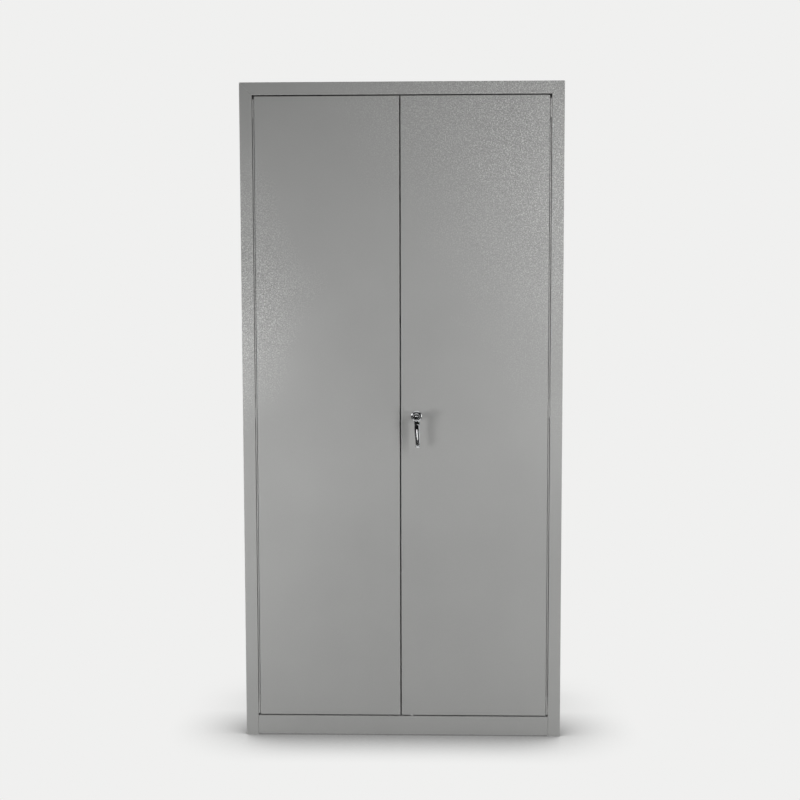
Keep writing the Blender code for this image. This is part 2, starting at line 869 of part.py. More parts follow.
def nut_mesh():
    """The six-sided nut that holds the rosette from behind."""
    corner = nut_across_flats / 2 / math.cos(math.pi / 6)
    outline = []
    for i in range(6):
        angle = i * math.pi / 3
        outline.append((corner * math.cos(angle), corner * math.sin(angle)))
    mesh = drawn("rosette_nut", outline, nut_thickness, lay_facing)
    hole = neck_radius + seat_gap
    profile = [(0, nut_thickness), (hole, nut_thickness), (hole, -nut_thickness)]
    profile.append((0, -nut_thickness))
    cutter = turned("nut_hole", profile, rosette_steps, axis_forward)
    return shaped("rosette_nut", mesh, [(cutter, "DIFFERENCE")])


def ball_mesh(name, radius):
    """A round ball."""
    work = bmesh.new()
    bmesh.ops.create_uvsphere(work, u_segments=small_round_steps, v_segments=small_round_steps // 2,
                              radius=radius)
    mesh = bpy.data.meshes.new(name)
    work.to_mesh(mesh)
    work.free()
    return mesh


def flattened(mesh, at):
    """A piece of the lever, pressed flat from front to back and moved to its place."""
    mesh.transform(Matrix.Scale(lever_flatness_share, 4, (0, 1, 0)))
    return moved(mesh, at)


def lever_mesh():
    """The lever: a hub bored for the plug, a leaning grip with a bulb and a cap, and the shank."""
    foot = rosette_thickness + 2 * seat_gap
    top = foot + hub_reach
    shank_end = -(cam_front + cam_thickness)
    hub_profile = [
        (0, top),
        (hub_radius - 2 * rosette_rim, top),
        (hub_radius - rosette_rim / 2, top - rosette_rim / 2),
        (hub_radius, top - 2 * rosette_rim),
        (hub_radius, top - hub_reach / 3),
        (hub_waist_radius, foot + hub_reach / 3),
        (hub_waist_radius, foot + rosette_rim),
        (hub_waist_radius + rosette_rim, foot),
        (shank_radius, foot),
        (shank_radius, -cam_front + seat_gap),
        (0, -cam_front + seat_gap),
    ]
    hub = turned("hub", hub_profile, round_steps, axis_forward)
    grip_depth = -lever_middle_depth - foot
    grip_profile = [
        (0, 0),
        (neck_half_width, 0),
        (neck_half_width, -neck_below),
        (grip_half_width, -grip_start),
        (grip_end_half_width, -grip_end),
        (grip_end_half_width - cap_groove, -grip_end - cap_groove),
        (cap_half_width, -grip_end - 2 * cap_groove),
        (cap_half_width, -lever_length + cap_crown),
        (cap_half_width * cap_crown_width_share, -lever_length + cap_crown / 4),
        (0, -lever_length),
    ]
    grip = flattened(turned("grip", grip_profile, round_steps, lay_upright), (0, grip_depth, 0))
    bulb = flattened(ball_mesh("bulb", bulb_radius), (bulb_aside, grip_depth, -bulb_below))
    lean = Matrix.Rotation(-math.radians(lever_lean_degrees), 4, "Y")
    grip.transform(lean)
    bulb.transform(lean)
    side = shank_square / 2
    square = slab_mesh("square", (-side, 0, -side), (side, -shank_end, side))
    plug_hole = plug_radius + seat_gap
    hole_end = top - plug_length - seat_gap
    hole_profile = [(0, top + cut_margin), (plug_hole, top + cut_margin)]
    hole_profile += [(plug_hole, hole_end), (0, hole_end)]
    hole = turned("plug_hole", hole_profile, round_steps, axis_forward)
    tap = cam_screw_radius + seat_gap
    tap_depth = shank_end + cam_screw_length + seat_gap
    tap_profile = [(0, tap_depth), (tap, tap_depth)]
    tap_profile += [(tap, shank_end - cut_margin), (0, shank_end - cut_margin)]
    tapped = turned("tapped", tap_profile, small_round_steps, axis_forward)
    tools = [(grip, "UNION"), (bulb, "UNION"), (square, "UNION"), (hole, "DIFFERENCE")]
    tools.append((tapped, "DIFFERENCE"))
    return smooth(shaped("handle_lever", hub, tools))


def plug_mesh():
    """The lock plug with its keyway, about the handle's axis."""
    top = rosette_thickness + 2 * seat_gap + hub_reach
    profile = [
        (0, top),
        (plug_radius - edge_chamfer, top),
        (plug_radius, top - edge_chamfer),
        (plug_radius, top - plug_length),
        (0, top - plug_length),
    ]
    mesh = turned("lock_plug", profile, round_steps, axis_forward)
    half_w = keyway_width / 2
    half_h = keyway_height / 2
    low = (-half_w, -top - cut_margin, -half_h)
    keyway = slab_mesh("keyway", low, (half_w, -top + keyway_depth, half_h))
    return shaped("lock_plug", mesh, [(keyway, "DIFFERENCE")])


def round_post(name, radius, front, back, at):
    """A round bar along Y between two depths."""
    profile = [(0, -front), (radius, -front), (radius, -back), (0, -back)]
    return moved(turned(name, profile, small_round_steps, axis_forward), at)


def cam_mesh():
    """The cam plate: an arm with two driving pins, and the tongue that holds the other door."""
    back = cam_front + cam_thickness
    arm = slab_mesh("arm", (-pin_circle, cam_front, -cam_arm_half_width),
                    (pin_circle, back, cam_arm_half_width))
    arm.transform(Matrix.Rotation(math.pi / 4, 4, "Y"))
    corner = rest_pin_offset
    tongue = slab_mesh("tongue", (-cam_tongue_half_width, cam_front, 0),
                       (cam_tongue_half_width, back, cam_tongue_reach))
    hub = round_post("hub", cam_hub_radius, cam_front, back, (0, 0, 0))
    ends = []
    for side in (-1, 1):
        at = (side * corner, 0, -side * corner)
        ends.append((round_post("end", cam_arm_half_width, cam_front, back, at), "UNION"))
        front = bolt_depth - yoke_thickness / 2 - seat_gap
        middle = cam_front + cam_thickness / 2
        ends.append((round_post("pin", drive_pin_radius, front, middle, at), "UNION"))
    side = shank_square / 2 + seat_gap
    square = slab_mesh("square", (-side, cam_front - cut_margin, -side),
                       (side, back + cut_margin, side))
    tools = [(tongue, "UNION"), (hub, "UNION")] + ends + [(square, "DIFFERENCE")]
    return shaped("cam_plate", arm, tools)


def cam_screw_mesh():
    """The round-headed screw that holds the cam plate on the shank."""
    seat = -(cam_front + cam_thickness + seat_gap)
    crown = seat - cam_screw_head_height
    profile = [
        (0, seat + cam_screw_length),
        (cam_screw_radius, seat + cam_screw_length),
        (cam_screw_radius, seat),
        (cam_screw_head_radius, seat),
        (cam_screw_head_radius, crown + cam_screw_slot_depth),
        (cam_screw_head_radius - cam_screw_head_height / 2, crown),
        (0, crown),
    ]
    mesh = turned("cam_screw", profile, round_steps, axis_forward)
    half_slot = cam_screw_slot_width / 2
    reach = cam_screw_head_radius + cut_margin
    low = (-reach, -crown - cam_screw_slot_depth, -half_slot)
    slot = slab_mesh("slot", low, (reach, -crown + cut_margin, half_slot))
    return shaped("cam_screw", mesh, [(slot, "DIFFERENCE")])


def bolt_mesh(name, way):
    """A bolt rod with the slotted yoke that a driving pin moves.

    Args:
        name: the name of the mesh.
        way: 1 for the upper bolt, -1 for the lower.
    """
    end = door_top if way > 0 else door_bottom
    reach = way * (end - handle_height) - bolt_tip_inset
    pin_level = -rest_pin_offset
    slot_half = drive_pin_radius + drive_pin_clearance
    inner = shank_radius + yoke_inner_gap
    outer = pin_circle + slot_half + yoke_wall
    plate_half = slot_half + yoke_wall
    front = bolt_depth - yoke_thickness / 2
    back = bolt_depth + yoke_thickness / 2
    plate = slab_mesh("yoke", (inner, front, pin_level - plate_half),
                      (outer, back, pin_level + plate_half))
    slot = slab_mesh("slot", (rest_pin_offset - slot_half, front - cut_margin,
                              pin_level - slot_half),
                     (pin_circle + slot_half, back + cut_margin, pin_level + slot_half))
    profile = [
        (0, reach),
        (bolt_radius - bolt_tip_chamfer, reach),
        (bolt_radius, reach - bolt_tip_chamfer),
        (bolt_radius, pin_level + slot_half + yoke_wall / 2),
        (0, pin_level + slot_half + yoke_wall / 2),
    ]
    rod = moved(turned("rod", profile, round_steps, lay_upright), (bolt_offset, bolt_depth, 0))
    mesh = shaped(name, plate, [(slot, "DIFFERENCE"), (rod, "UNION")])
    if way < 0:
        mesh.transform(Matrix.Rotation(math.pi, 4, "Y"))
    return mesh


def guide_mesh():
    """A saddle over a bolt rod, with a foot each side on the door's inside."""
    floor = sheet + seat_gap + guide_thickness / 2
    inner = bolt_radius + seat_gap + guide_thickness / 2
    roof = bolt_depth + inner
    path = [(-inner - guide_foot, floor), (-inner, floor), (-inner, roof)]
    path += [(inner, roof), (inner, floor), (inner + guide_foot, floor)]
    section = folded(path, guide_thickness, fold_radius)
    return drawn("bolt_guide", section, guide_width, lay_upright)


def build_lock():
    """Handle, rosette, lock plug, cam, both bolts and their guides."""
    centre = (handle_from_middle, 0, handle_height)
    nut_y = sheet + seat_gap + nut_thickness / 2
    hang(piece_from("rosette", rosette_mesh(), chrome), right_pivot, centre)
    nut_at = (handle_from_middle, nut_y, handle_height)
    hang(piece_from("rosette_nut", nut_mesh(), zinc), right_pivot, nut_at)
    hang(piece_from("handle_lever", lever_mesh(), chrome), handle_pivot, centre)
    hang(piece_from("cam_plate", cam_mesh(), zinc), handle_pivot, centre)
    hang(piece_from("cam_screw", cam_screw_mesh(), zinc), handle_pivot, centre)
    hang(piece_from("lock_plug", plug_mesh(), chrome), plug_pivot, centre)
    hang(piece_from("upper_bolt", bolt_mesh("upper_bolt", 1), zinc), right_pivot, centre)
    hang(piece_from("lower_bolt", bolt_mesh("lower_bolt", -1), zinc), right_pivot, centre)
    guide = guide_mesh()
    upper_z = door_top - guide_from_door_end
    lower_z = door_bottom + guide_from_door_end
    upper_at = (handle_from_middle + bolt_offset, 0, upper_z)
    lower_at = (handle_from_middle - bolt_offset, 0, lower_z)
    hang(piece_from("upper_bolt_guide", guide, zinc), right_pivot, upper_at)
    hang(piece_from("lower_bolt_guide", guide, zinc), right_pivot, lower_at)


def build_buffers():
    """Rubber buffers between the doors and the top rail's stop lip, near the middle."""
    half = buffer_width / 2
    low = (-half, door_thickness + seat_gap, 0)
    high = (half, stop_depth - seat_gap, buffer_height)
    rest_z = opening_top - stop_lip / 2 - buffer_height / 2
    for side_name, side in {"left": -1, "right": 1}.items():
        x = meeting_offset + side * buffer_from_meeting
        pad = slab_mesh("buffer", low, high)
        hang(piece_from(f"{side_name}_door_buffer", pad, rubber), carcass, (x, 0, rest_z))


build_carcass()
build_shelving()
build_hinges()
build_doors()
build_lock()
build_buffers()
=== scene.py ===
"""Looks of a tall steel office cabinet with two doors and a chrome locking handle.

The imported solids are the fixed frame: every piece stands where its solid stands and rides on
the same body. Lengths are metres, angles are degrees, +Z is up and the doors face -Y.
"""

from __future__ import annotations

import json
import logging
import math
from dataclasses import dataclass, field
from enum import Enum
from typing import Iterable, Sequence

import bmesh
import bpy
from mathutils import Matrix, Vector

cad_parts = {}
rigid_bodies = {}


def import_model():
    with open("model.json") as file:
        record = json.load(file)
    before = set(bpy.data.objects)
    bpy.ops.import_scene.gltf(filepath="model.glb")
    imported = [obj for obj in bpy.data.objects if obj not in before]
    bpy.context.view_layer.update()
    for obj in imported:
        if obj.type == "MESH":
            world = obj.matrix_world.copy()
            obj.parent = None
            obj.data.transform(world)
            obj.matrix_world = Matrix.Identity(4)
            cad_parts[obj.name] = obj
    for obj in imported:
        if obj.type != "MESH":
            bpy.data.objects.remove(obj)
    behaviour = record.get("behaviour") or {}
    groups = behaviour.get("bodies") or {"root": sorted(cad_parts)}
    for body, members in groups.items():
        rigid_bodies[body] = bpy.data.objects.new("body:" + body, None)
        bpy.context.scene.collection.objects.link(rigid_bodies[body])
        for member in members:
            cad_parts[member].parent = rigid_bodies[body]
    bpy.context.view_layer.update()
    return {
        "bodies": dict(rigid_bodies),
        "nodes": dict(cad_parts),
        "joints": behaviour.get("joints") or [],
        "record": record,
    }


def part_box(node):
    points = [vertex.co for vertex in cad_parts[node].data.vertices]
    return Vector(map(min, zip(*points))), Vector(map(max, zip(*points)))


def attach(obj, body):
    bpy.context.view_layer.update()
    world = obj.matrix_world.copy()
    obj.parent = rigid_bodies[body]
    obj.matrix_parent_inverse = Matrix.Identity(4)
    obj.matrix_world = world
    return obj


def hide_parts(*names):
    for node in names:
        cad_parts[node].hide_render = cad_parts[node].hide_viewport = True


LOG = logging.getLogger("office_cabinet")

MERGE_REACH = 0.000001
COPY_MERGE_REACH = 0.000002
COPY_FLAT_ANGLE = 0.6
SHARP_ANGLE = 50.0
CORNER_STEPS = 3
EDGE_STEPS = 2
WEAR_SAMPLES = 4

Pair = tuple[float, float]
Triple = tuple[float, float, float]
Span = Pair
Grain = Triple
Colour = Triple
Outline = Sequence[Pair]
Socket = bpy.types.NodeSocket
BMesh = bmesh.types.BMesh

WHOLE: Span = (0.0, 1.0)


class Body(Enum):
    """The bodies of the frame."""

    CABINET = "cabinet"
    LEFT_DOOR = "left_door"
    RIGHT_DOOR = "right_door"
    HANDLE = "handle"
    PLUG = "lock_plug"
    UPPER_BOLT = "upper_bolt"
    LOWER_BOLT = "lower_bolt"


class Slot(Enum):
    """The material slots of the record."""

    PAINT = "grey_paint"
    CHROME = "bright_chrome"
    ZINC = "zinc_plate"
    RUBBER = "black_rubber"


class Side(Enum):
    """The two sides of the cabinet, as the sign of X."""

    LEFT = -1
    RIGHT = 1

    @property
    def word(self) -> str:
        """The side's name in lower case."""
        return self.name.lower()

    @property
    def door(self) -> Body:
        """The door on this side."""
        return Body.LEFT_DOOR if self is Side.LEFT else Body.RIGHT_DOOR

    def outer(self, low: Vector, high: Vector) -> float:
        """The X of a box's face on this side."""
        return high.x if self is Side.RIGHT else low.x


class Bench:
    """The node tree of one finish, with short calls to place its nodes.

    A Mix node's sockets share their names, so they are numbered here: the share is input 0, the
    plain values are inputs 2 and 3, and the colours are inputs 6 and 7 and output 2.
    """

    def __init__(self, tree: bpy.types.NodeTree) -> None:
        """Empties the tree.

        Args:
            tree: the node tree of a material or of the world.
        """
        self.tree = tree
        tree.nodes.clear()

    def put(
        self, kind: str, inputs: dict[str | int, object] | None = None, **settings: object
    ) -> bpy.types.Node:
        """Places a node, sets it and joins what is given to its sockets.

        Args:
            kind: the node's type in Blender.
            inputs: a value or another node's socket for each named or numbered input.
            settings: the node's own properties.

        Returns:
            The new node.
        """
        node = self.tree.nodes.new(kind)
        for key, value in settings.items():
            setattr(node, key, value)
        for key, value in (inputs or {}).items():
            if isinstance(value, Socket):
                self.tree.links.new(value, node.inputs[key])
            else:
                node.inputs[key].default_value = value
        return node

    def noise(self, at: Socket, grain: Grain) -> Socket:
        """A noise pattern over the given coordinates, by its scale, detail and roughness."""
        wanted = {"Vector": at, "Scale": grain[0], "Detail": grain[1], "Roughness": grain[2]}
        return self.put("ShaderNodeTexNoise", wanted).outputs["Fac"]

    def spread(self, value: Socket, over: Span, to: Span = WHOLE) -> Socket:
        """Maps a value from one range to another, and keeps it there.

        Args:
            value: the socket of the value.
            over: the range that is mapped; where it runs down, the result runs the other way.
            to: the range of the result.

        Returns:
            The socket of the result.
        """
        wanted = {
            "Value": value, "From Min": over[0], "From Max": over[1], "To Min": to[0], "To Max": to[1],
        }
        return self.put("ShaderNodeMapRange", wanted).outputs["Result"]

    def blend(self, share: Socket | float, first: object, second: object) -> Socket:
        """Mixes two colours.

        Args:
            share: how much of the second colour there is.
            first: a socket or a plain colour.
            second: a socket or a plain colour.

        Returns:
            The socket of the mixed colour.
        """
        wanted = {0: share}
        for key, colour in ((6, first), (7, second)):
            wanted[key] = colour if isinstance(colour, Socket) else (*colour, 1.0)
        return self.put("ShaderNodeMix", wanted, data_type="RGBA").outputs[2]

    def lean(self, share: Socket, first: Socket, second: float) -> Socket:
        """Moves a value towards a second one by a share."""
        wanted = {0: share, 2: first, 3: second}
        return self.put("ShaderNodeMix", wanted, data_type="FLOAT").outputs[0]

    def sums(self, kind: str, first: object, second: object) -> Socket:
        """Works out a sum, product or other plain step with two values."""
        return self.put("ShaderNodeMath", {0: first, 1: second}, operation=kind).outputs[0]

    def bump(self, height: Socket, depth: float) -> Socket:
        """A bumped normal.

        Args:
            height: the pattern, from 0 to 1.
            depth: how deep the pattern is, in metres.

        Returns:
            The socket of the normal.
        """
        wanted = {"Height": height, "Distance": depth, "Strength": 1.0}
        return self.put("ShaderNodeBump", wanted).outputs["Normal"]

    def edges(self, radius: float, over: Span) -> Socket:
        """How far a point is worn for being on an edge.

        Args:
            radius: how far from an edge the wear reaches, in metres.
            over: the cosines of the turn at which wear starts and is full.

        Returns:
            The socket of the wear, from 0 to 1.
        """
        rounded = self.put("ShaderNodeBevel", {"Radius": radius}, samples=WEAR_SAMPLES)
        true = self.put("ShaderNodeNewGeometry").outputs["Normal"]
        pair = {0: rounded.outputs["Normal"], 1: true}
        dot = self.put("ShaderNodeVectorMath", pair, operation="DOT_PRODUCT")
        return self.spread(dot.outputs["Value"], over)


def shade(name: str) -> tuple[bpy.types.Material, Bench, Socket]:
    """Starts a material.

    Args:
        name: the material's name.

    Returns:
        The material, its bench and the socket of Object coordinates.
    """
    made = bpy.data.materials.new(name)
    made.use_nodes = True
    bench = Bench(made.node_tree)
    return made, bench, bench.put("ShaderNodeTexCoord").outputs["Object"]


def deliver(bench: Bench, inputs: dict[str | int, object]) -> None:
    """Ends a material in one Principled shader with these inputs."""
    shader = bench.put("ShaderNodeBsdfPrincipled", inputs).outputs["BSDF"]
    bench.put("ShaderNodeOutputMaterial", {"Surface": shader})


@dataclass(frozen=True)
class PowderCoat:
    """Grey powder coat: an orange-peel skin, flecks crowded into painted glints at a few spots, edges
    lightened as a painted highlight.
    """

    name: str = "textured_grey_powder_coat"
    colour: Colour = (0.300, 0.301, 0.296)
    # Pale and dark flecks of the grain; where they crowd round the glint spots, the pale ones are painted
    # glints and the dark ones painted shade.
    pale_fleck: Colour = (0.72, 0.72, 0.71)
    dark_fleck: Colour = (0.15, 0.15, 0.145)
    pale_fleck_grain: Grain = (300.0, 2.0, 0.7)
    pale_fleck_share: float = 0.80
    even_share: float = 0.035
    pale_fleck_over: Span = (0.52, 0.74)
    dark_fleck_over: Span = (0.48, 0.26)
    cloud_grain: Grain = (2.6, 3.0, 0.55)
    cloud_over: Span = (0.3, 0.7)
    cloud: float = 0.035
    grit_over: Span = (0.3, 0.6)
    grit: Span = (0.3, 0.9)
    # Edges are lightened as a painted highlight where the folds catch the light, and are smoother there.
    edge_light: float = 1.75
    edge_width: float = 0.0015
    edge_over: Span = (0.995, 0.80)
    edge_roughness: float = 0.28
    peel_grain: Grain = (520.0, 2.0, 0.6)
    peel_depth: float = 0.00016
    roughness: Span = (0.40, 0.52)
    stray: float = 0.16
    stray_scale: float = 6.0
    stray_detail: float = 4.0
    # Painted glints: the flecks crowd round a few spots where the lamps' highlights fall on the doors,
    # and thin out on faces that point into the cabinet.
    glint_over: Span = (1.0, 0.40)
    facing_over: Span = (-0.5, 0.5)
    inside_share: float = 0.15
    glint_spots: tuple[tuple[Triple, Triple], ...] = (
        ((0.50, -0.206, 1.86), (0.78, 0.45, 1.20)), ((-0.47, -0.206, 1.27), (0.27, 0.30, 0.52)),
    )

    def thickness(self, bench: Bench, at: Socket) -> Socket:
        """How crowded the painted glints are, from 0 to 1: most round a few spots where highlights fall,
        and on the front.

        Args:
            bench: the bench of the material.
            at: the socket of Object coordinates.

        Returns:
            The socket of the painted glint share.
        """
        drift = bench.put(
            "ShaderNodeTexNoise",
            {"Vector": at, "Scale": self.stray_scale, "Detail": self.stray_detail},
        )
        strayed = bench.put(
            "ShaderNodeVectorMath", {0: drift.outputs["Color"], 1: (self.stray,) * 3, 2: at},
            operation="MULTIPLY_ADD",
        ).outputs["Vector"]
        # thick is the share of painted glint, the most that any spot gives.
        thick: Socket | None = None
        for spot, reach in self.glint_spots:
            middle = tuple(part + self.stray / 2 for part in spot)
            away = bench.put("ShaderNodeVectorMath", {0: strayed, 1: middle}, operation="SUBTRACT")
            plain = bench.put("ShaderNodeVectorMath", {0: away.outputs[0]}, operation="ABSOLUTE")
            far = bench.put(
                "ShaderNodeVectorMath", {0: plain.outputs[0], 1: tuple(1 / part for part in reach)},
                operation="DOT_PRODUCT",
            )
            near = bench.spread(far.outputs["Value"], self.glint_over)
            thick = near if thick is None else bench.sums("MAXIMUM", thick, near)
        # Less painted glint on faces that point back into the cabinet.
        way = bench.put("ShaderNodeTexCoord").outputs["Normal"]
        back = bench.put("ShaderNodeSeparateXYZ", {"Vector": way}).outputs["Y"]
        outside = bench.spread(back, self.facing_over, (1.0, self.inside_share))
        return bench.sums("MULTIPLY", thick, outside)

    def material(self) -> bpy.types.Material:
        """Makes the material.

        Returns:
            The material, ready for a slot.
        """
        made, bench, at = shade(self.name)
        flecks = bench.noise(at, self.pale_fleck_grain)
        cloud = bench.noise(at, self.cloud_grain)
        # The flecks crowd as painted glints round the glint spots and stay thin elsewhere.
        share = bench.spread(self.thickness(bench, at), WHOLE, (self.even_share, 1.0))
        share = bench.sums("MULTIPLY", share, self.pale_fleck_share)
        # Pale flecks crowd as painted glints; dark flecks (sunk) crowd with them as painted shade of the
        # grain.
        pale_flecks = bench.sums("MULTIPLY", bench.spread(flecks, self.pale_fleck_over), share)
        sunk = bench.sums("MULTIPLY", bench.spread(flecks, self.dark_fleck_over), share)
        skin = bench.blend(sunk, bench.blend(pale_flecks, self.colour, self.pale_fleck), self.dark_fleck)
        shift = bench.spread(cloud, self.cloud_over, (1 - self.cloud, 1 + self.cloud))
        tinted = bench.put(
            "ShaderNodeVectorMath", {0: skin, "Scale": shift}, operation="SCALE"
        ).outputs["Vector"]
        # A painted highlight along the edges, broken up by the grain.
        edges = bench.edges(self.edge_width, self.edge_over)
        painted_edge_highlight = bench.sums("MULTIPLY", edges, bench.spread(flecks, self.grit_over, self.grit))
        dull = bench.spread(cloud, self.cloud_over, self.roughness)
        edge = tuple(min(1.0, part * self.edge_light) for part in self.colour)
        peel = bench.noise(at, self.peel_grain)
        inputs = {
            "Base Color": bench.blend(painted_edge_highlight, tinted, edge),
            "Roughness": bench.lean(edges, dull, self.edge_roughness),
            "Normal": bench.bump(peel, self.peel_depth),
        }
        deliver(bench, inputs)
        return made


@dataclass(frozen=True)
class ChromePlate:
    """Polished chrome with faint smudges and the slight waves of a cast piece."""

    name: str = "polished_chrome_plate"
    colour: Colour = (0.70, 0.71, 0.72)
    smudge_grain: Grain = (90.0, 4.0, 0.6)
    smudge_light: float = 0.86
    smudge_over: Span = (0.45, 0.75)
    roughness: Span = (0.05, 0.14)
    roughness_over: Span = (0.35, 0.75)
    wave_grain: Grain = (140.0, 1.0, 0.5)
    wave_depth: float = 0.00004

    def material(self) -> bpy.types.Material:
        """Makes the material.

        Returns:
            The material, ready for a slot.
        """
        made, bench, at = shade(self.name)
        smudge = bench.noise(at, self.smudge_grain)
        wave = bench.noise(at, self.wave_grain)
        dull = tuple(part * self.smudge_light for part in self.colour)
        inputs = {
            "Base Color": bench.blend(bench.spread(smudge, self.smudge_over), self.colour, dull),
            "Roughness": bench.spread(smudge, self.roughness_over, self.roughness),
            "Metallic": 1.0,
            "Normal": bench.bump(wave, self.wave_depth),
        }
        deliver(bench, inputs)
        return made


@dataclass(frozen=True)
class ZincPlate:
    """Bright zinc on rolled steel: streaks, dull patches and rubbed edges."""

    name: str = "bright_zinc_plate"
    colour: Colour = (0.58, 0.59, 0.60)
    warm: Colour = (0.54, 0.53, 0.47)
    streak_squeeze: Triple = (9.0, 9.0, 1.0)
    streak_grain: Grain = (120.0, 3.0, 0.5)
    streak_over: Span = (0.3, 0.7)
    streak_depth: float = 0.00003
    patch_grain: Grain = (70.0, 3.0, 0.6)
    patch_over: Span = (0.4, 0.7)
    patch_share: Span = (0.0, 0.55)
    edge_light: float = 1.25
    edge_width: float = 0.0006
    edge_over: Span = (0.995, 0.8)
    roughness: Span = (0.26, 0.46)

    def material(self) -> bpy.types.Material:
        """Makes the material.

        Returns:
            The material, ready for a slot.
        """
        made, bench, at = shade(self.name)
        drawn = bench.put("ShaderNodeMapping", {"Vector": at, "Scale": self.streak_squeeze})
        streak = bench.noise(drawn.outputs["Vector"], self.streak_grain)
        patch = bench.spread(bench.noise(at, self.patch_grain), self.patch_over, self.patch_share)
        tone = bench.blend(patch, self.colour, self.warm)
        edge = tuple(min(1.0, part * self.edge_light) for part in self.colour)
        inputs = {
            "Base Color": bench.blend(bench.edges(self.edge_width, self.edge_over), tone, edge),
            "Roughness": bench.spread(streak, self.streak_over, self.roughness),
            "Metallic": 1.0,
            "Normal": bench.bump(streak, self.streak_depth),
        }
        deliver(bench, inputs)
        return made


@dataclass(frozen=True)
class BufferRubber:
    """Matt black rubber with a dusty grain."""

    name: str = "matt_black_rubber"
    colour: Colour = (0.022, 0.022, 0.023)
    dust: Colour = (0.075, 0.073, 0.070)
    dust_grain: Grain = (160.0, 3.0, 0.5)
    dust_over: Span = (0.5, 0.8)
    dust_share: Span = (0.0, 0.6)
    skin_grain: Grain = (900.0, 2.0, 0.5)
    skin_over: Span = (0.3, 0.7)
    skin_depth: float = 0.00006
    roughness: Span = (0.66, 0.86)

    def material(self) -> bpy.types.Material:
        """Makes the material.

        Returns:
            The material, ready for a slot.
        """
        made, bench, at = shade(self.name)
        skin = bench.noise(at, self.skin_grain)
        dusty = bench.spread(bench.noise(at, self.dust_grain), self.dust_over, self.dust_share)
        inputs = {
            "Base Color": bench.blend(dusty, self.colour, self.dust),
            "Roughness": bench.spread(skin, self.skin_over, self.roughness),
            "Normal": bench.bump(skin, self.skin_depth),
        }
        deliver(bench, inputs)
        return made


def turned(profile: Outline, steps: int, soften: float = 0.0) -> BMesh:
    """Spins a profile about +Z.

    Args:
        profile: (radius, height) points, from one end of the axis to the other.
        steps: how many steps the full turn has.
        soften: the radius that rounds the profile's corners, or 0 to leave them.

    Returns:
        A closed mesh that faces outwards.
    """
    work = bmesh.new()
    points = [work.verts.new((radius, 0.0, rise)) for radius, rise in profile]
    lines = [work.edges.new(pair) for pair in zip(points, points[1:])]
    if soften > 0:
        bmesh.ops.bevel(
            work, geom=points[1:-1] + lines, offset=soften, offset_type="OFFSET",
            segments=CORNER_STEPS, profile=0.5, affect="VERTICES", material=-1, clamp_overlap=True,
        )
    bmesh.ops.spin(
        work, geom=work.verts[:] + work.edges[:], cent=(0, 0, 0), axis=(0, 0, 1),
        angle=math.tau, steps=steps, use_merge=True,
    )
    bmesh.ops.remove_doubles(work, verts=work.verts, dist=MERGE_REACH)
    bmesh.ops.recalc_face_normals(work, faces=work.faces)
    return work


def laid(work: BMesh, at: Vector, inwards: bool = False) -> BMesh:
    """Lays a mesh that was spun about +Z, with its axis pointing out of the doors.

    Args:
        work: the mesh, which is changed.
        at: where its foot goes.
        inwards: whether its axis points into the cabinet instead.

    Returns:
        The same mesh.
    """
    turn = Matrix.Rotation(-math.pi / 2 if inwards else math.pi / 2, 4, "X")
    bmesh.ops.transform(work, matrix=Matrix.Translation(at) @ turn, verts=work.verts)
    return work


def soften_edges(work: BMesh, width: float) -> BMesh:
    """Bevels every sharp edge.

    Args:
        work: the mesh, which is changed.
        width: the width of the bevel, in metres.

    Returns:
        The same mesh.
    """
    limit = math.radians(SHARP_ANGLE)
    crisp = [edge for edge in work.edges if edge.is_manifold and edge.calc_face_angle(0.0) > limit]
    if crisp:
        bmesh.ops.bevel(
            work, geom=crisp, offset=width, offset_type="OFFSET", segments=EDGE_STEPS, profile=0.5,
            affect="EDGES", material=-1, clamp_overlap=True,
        )
    return work


def joined(works: Iterable[BMesh]) -> BMesh:
    """Puts several meshes in one.

    Args:
        works: the meshes, which are freed.

    Returns:
        The one mesh.
    """
    whole = bmesh.new()
    for work in works:
        part = bpy.data.meshes.new("part")
        work.to_mesh(part)
        work.free()
        whole.from_mesh(part)
        bpy.data.meshes.remove(part)
    return whole


def shown(work: BMesh, name: str) -> bpy.types.Object:
    """Puts an object of a mesh in the scene.

    Args:
        work: the mesh, in place; it is freed.
        name: the name of the object and of its mesh.

    Returns:
        The object.
    """
    mesh = bpy.data.meshes.new(name)
    work.to_mesh(mesh)
    work.free()
    made = bpy.data.objects.new(name, mesh)
    bpy.context.scene.collection.objects.link(made)
    return made


def baked(work: BMesh, steps: Iterable[tuple[str, dict[str, object]]]) -> BMesh:
    """Carries out modifiers on a mesh.

    Args:
        work: the mesh, which is freed.
        steps: the kind and the settings of each modifier, in order.

    Returns:
        The mesh that comes out.
    """
    made = shown(work, "work")
    for kind, settings in steps:
        step = made.modifiers.new(kind.lower(), kind)
        for key, value in settings.items():
            setattr(step, key, value)
    graph = bpy.context.evaluated_depsgraph_get()
    graph.update()
    whole = bmesh.new()
    whole.from_object(made, graph)
    bpy.data.objects.remove(made, do_unlink=True)
    return whole


def carved(work: BMesh, tool: BMesh) -> BMesh:
    """Cuts a closed mesh out of another.

    Args:
        work: the mesh that is cut; it is freed.
        tool: the mesh that cuts; it is freed.

    Returns:
        The mesh that is left.
    """
    cutter = shown(tool, "cutter")
    settings = {"operation": "DIFFERENCE", "solver": "EXACT", "object": cutter}
    cut = baked(work, [("BOOLEAN", settings)])
    bpy.data.objects.remove(cutter, do_unlink=True)
    return cut


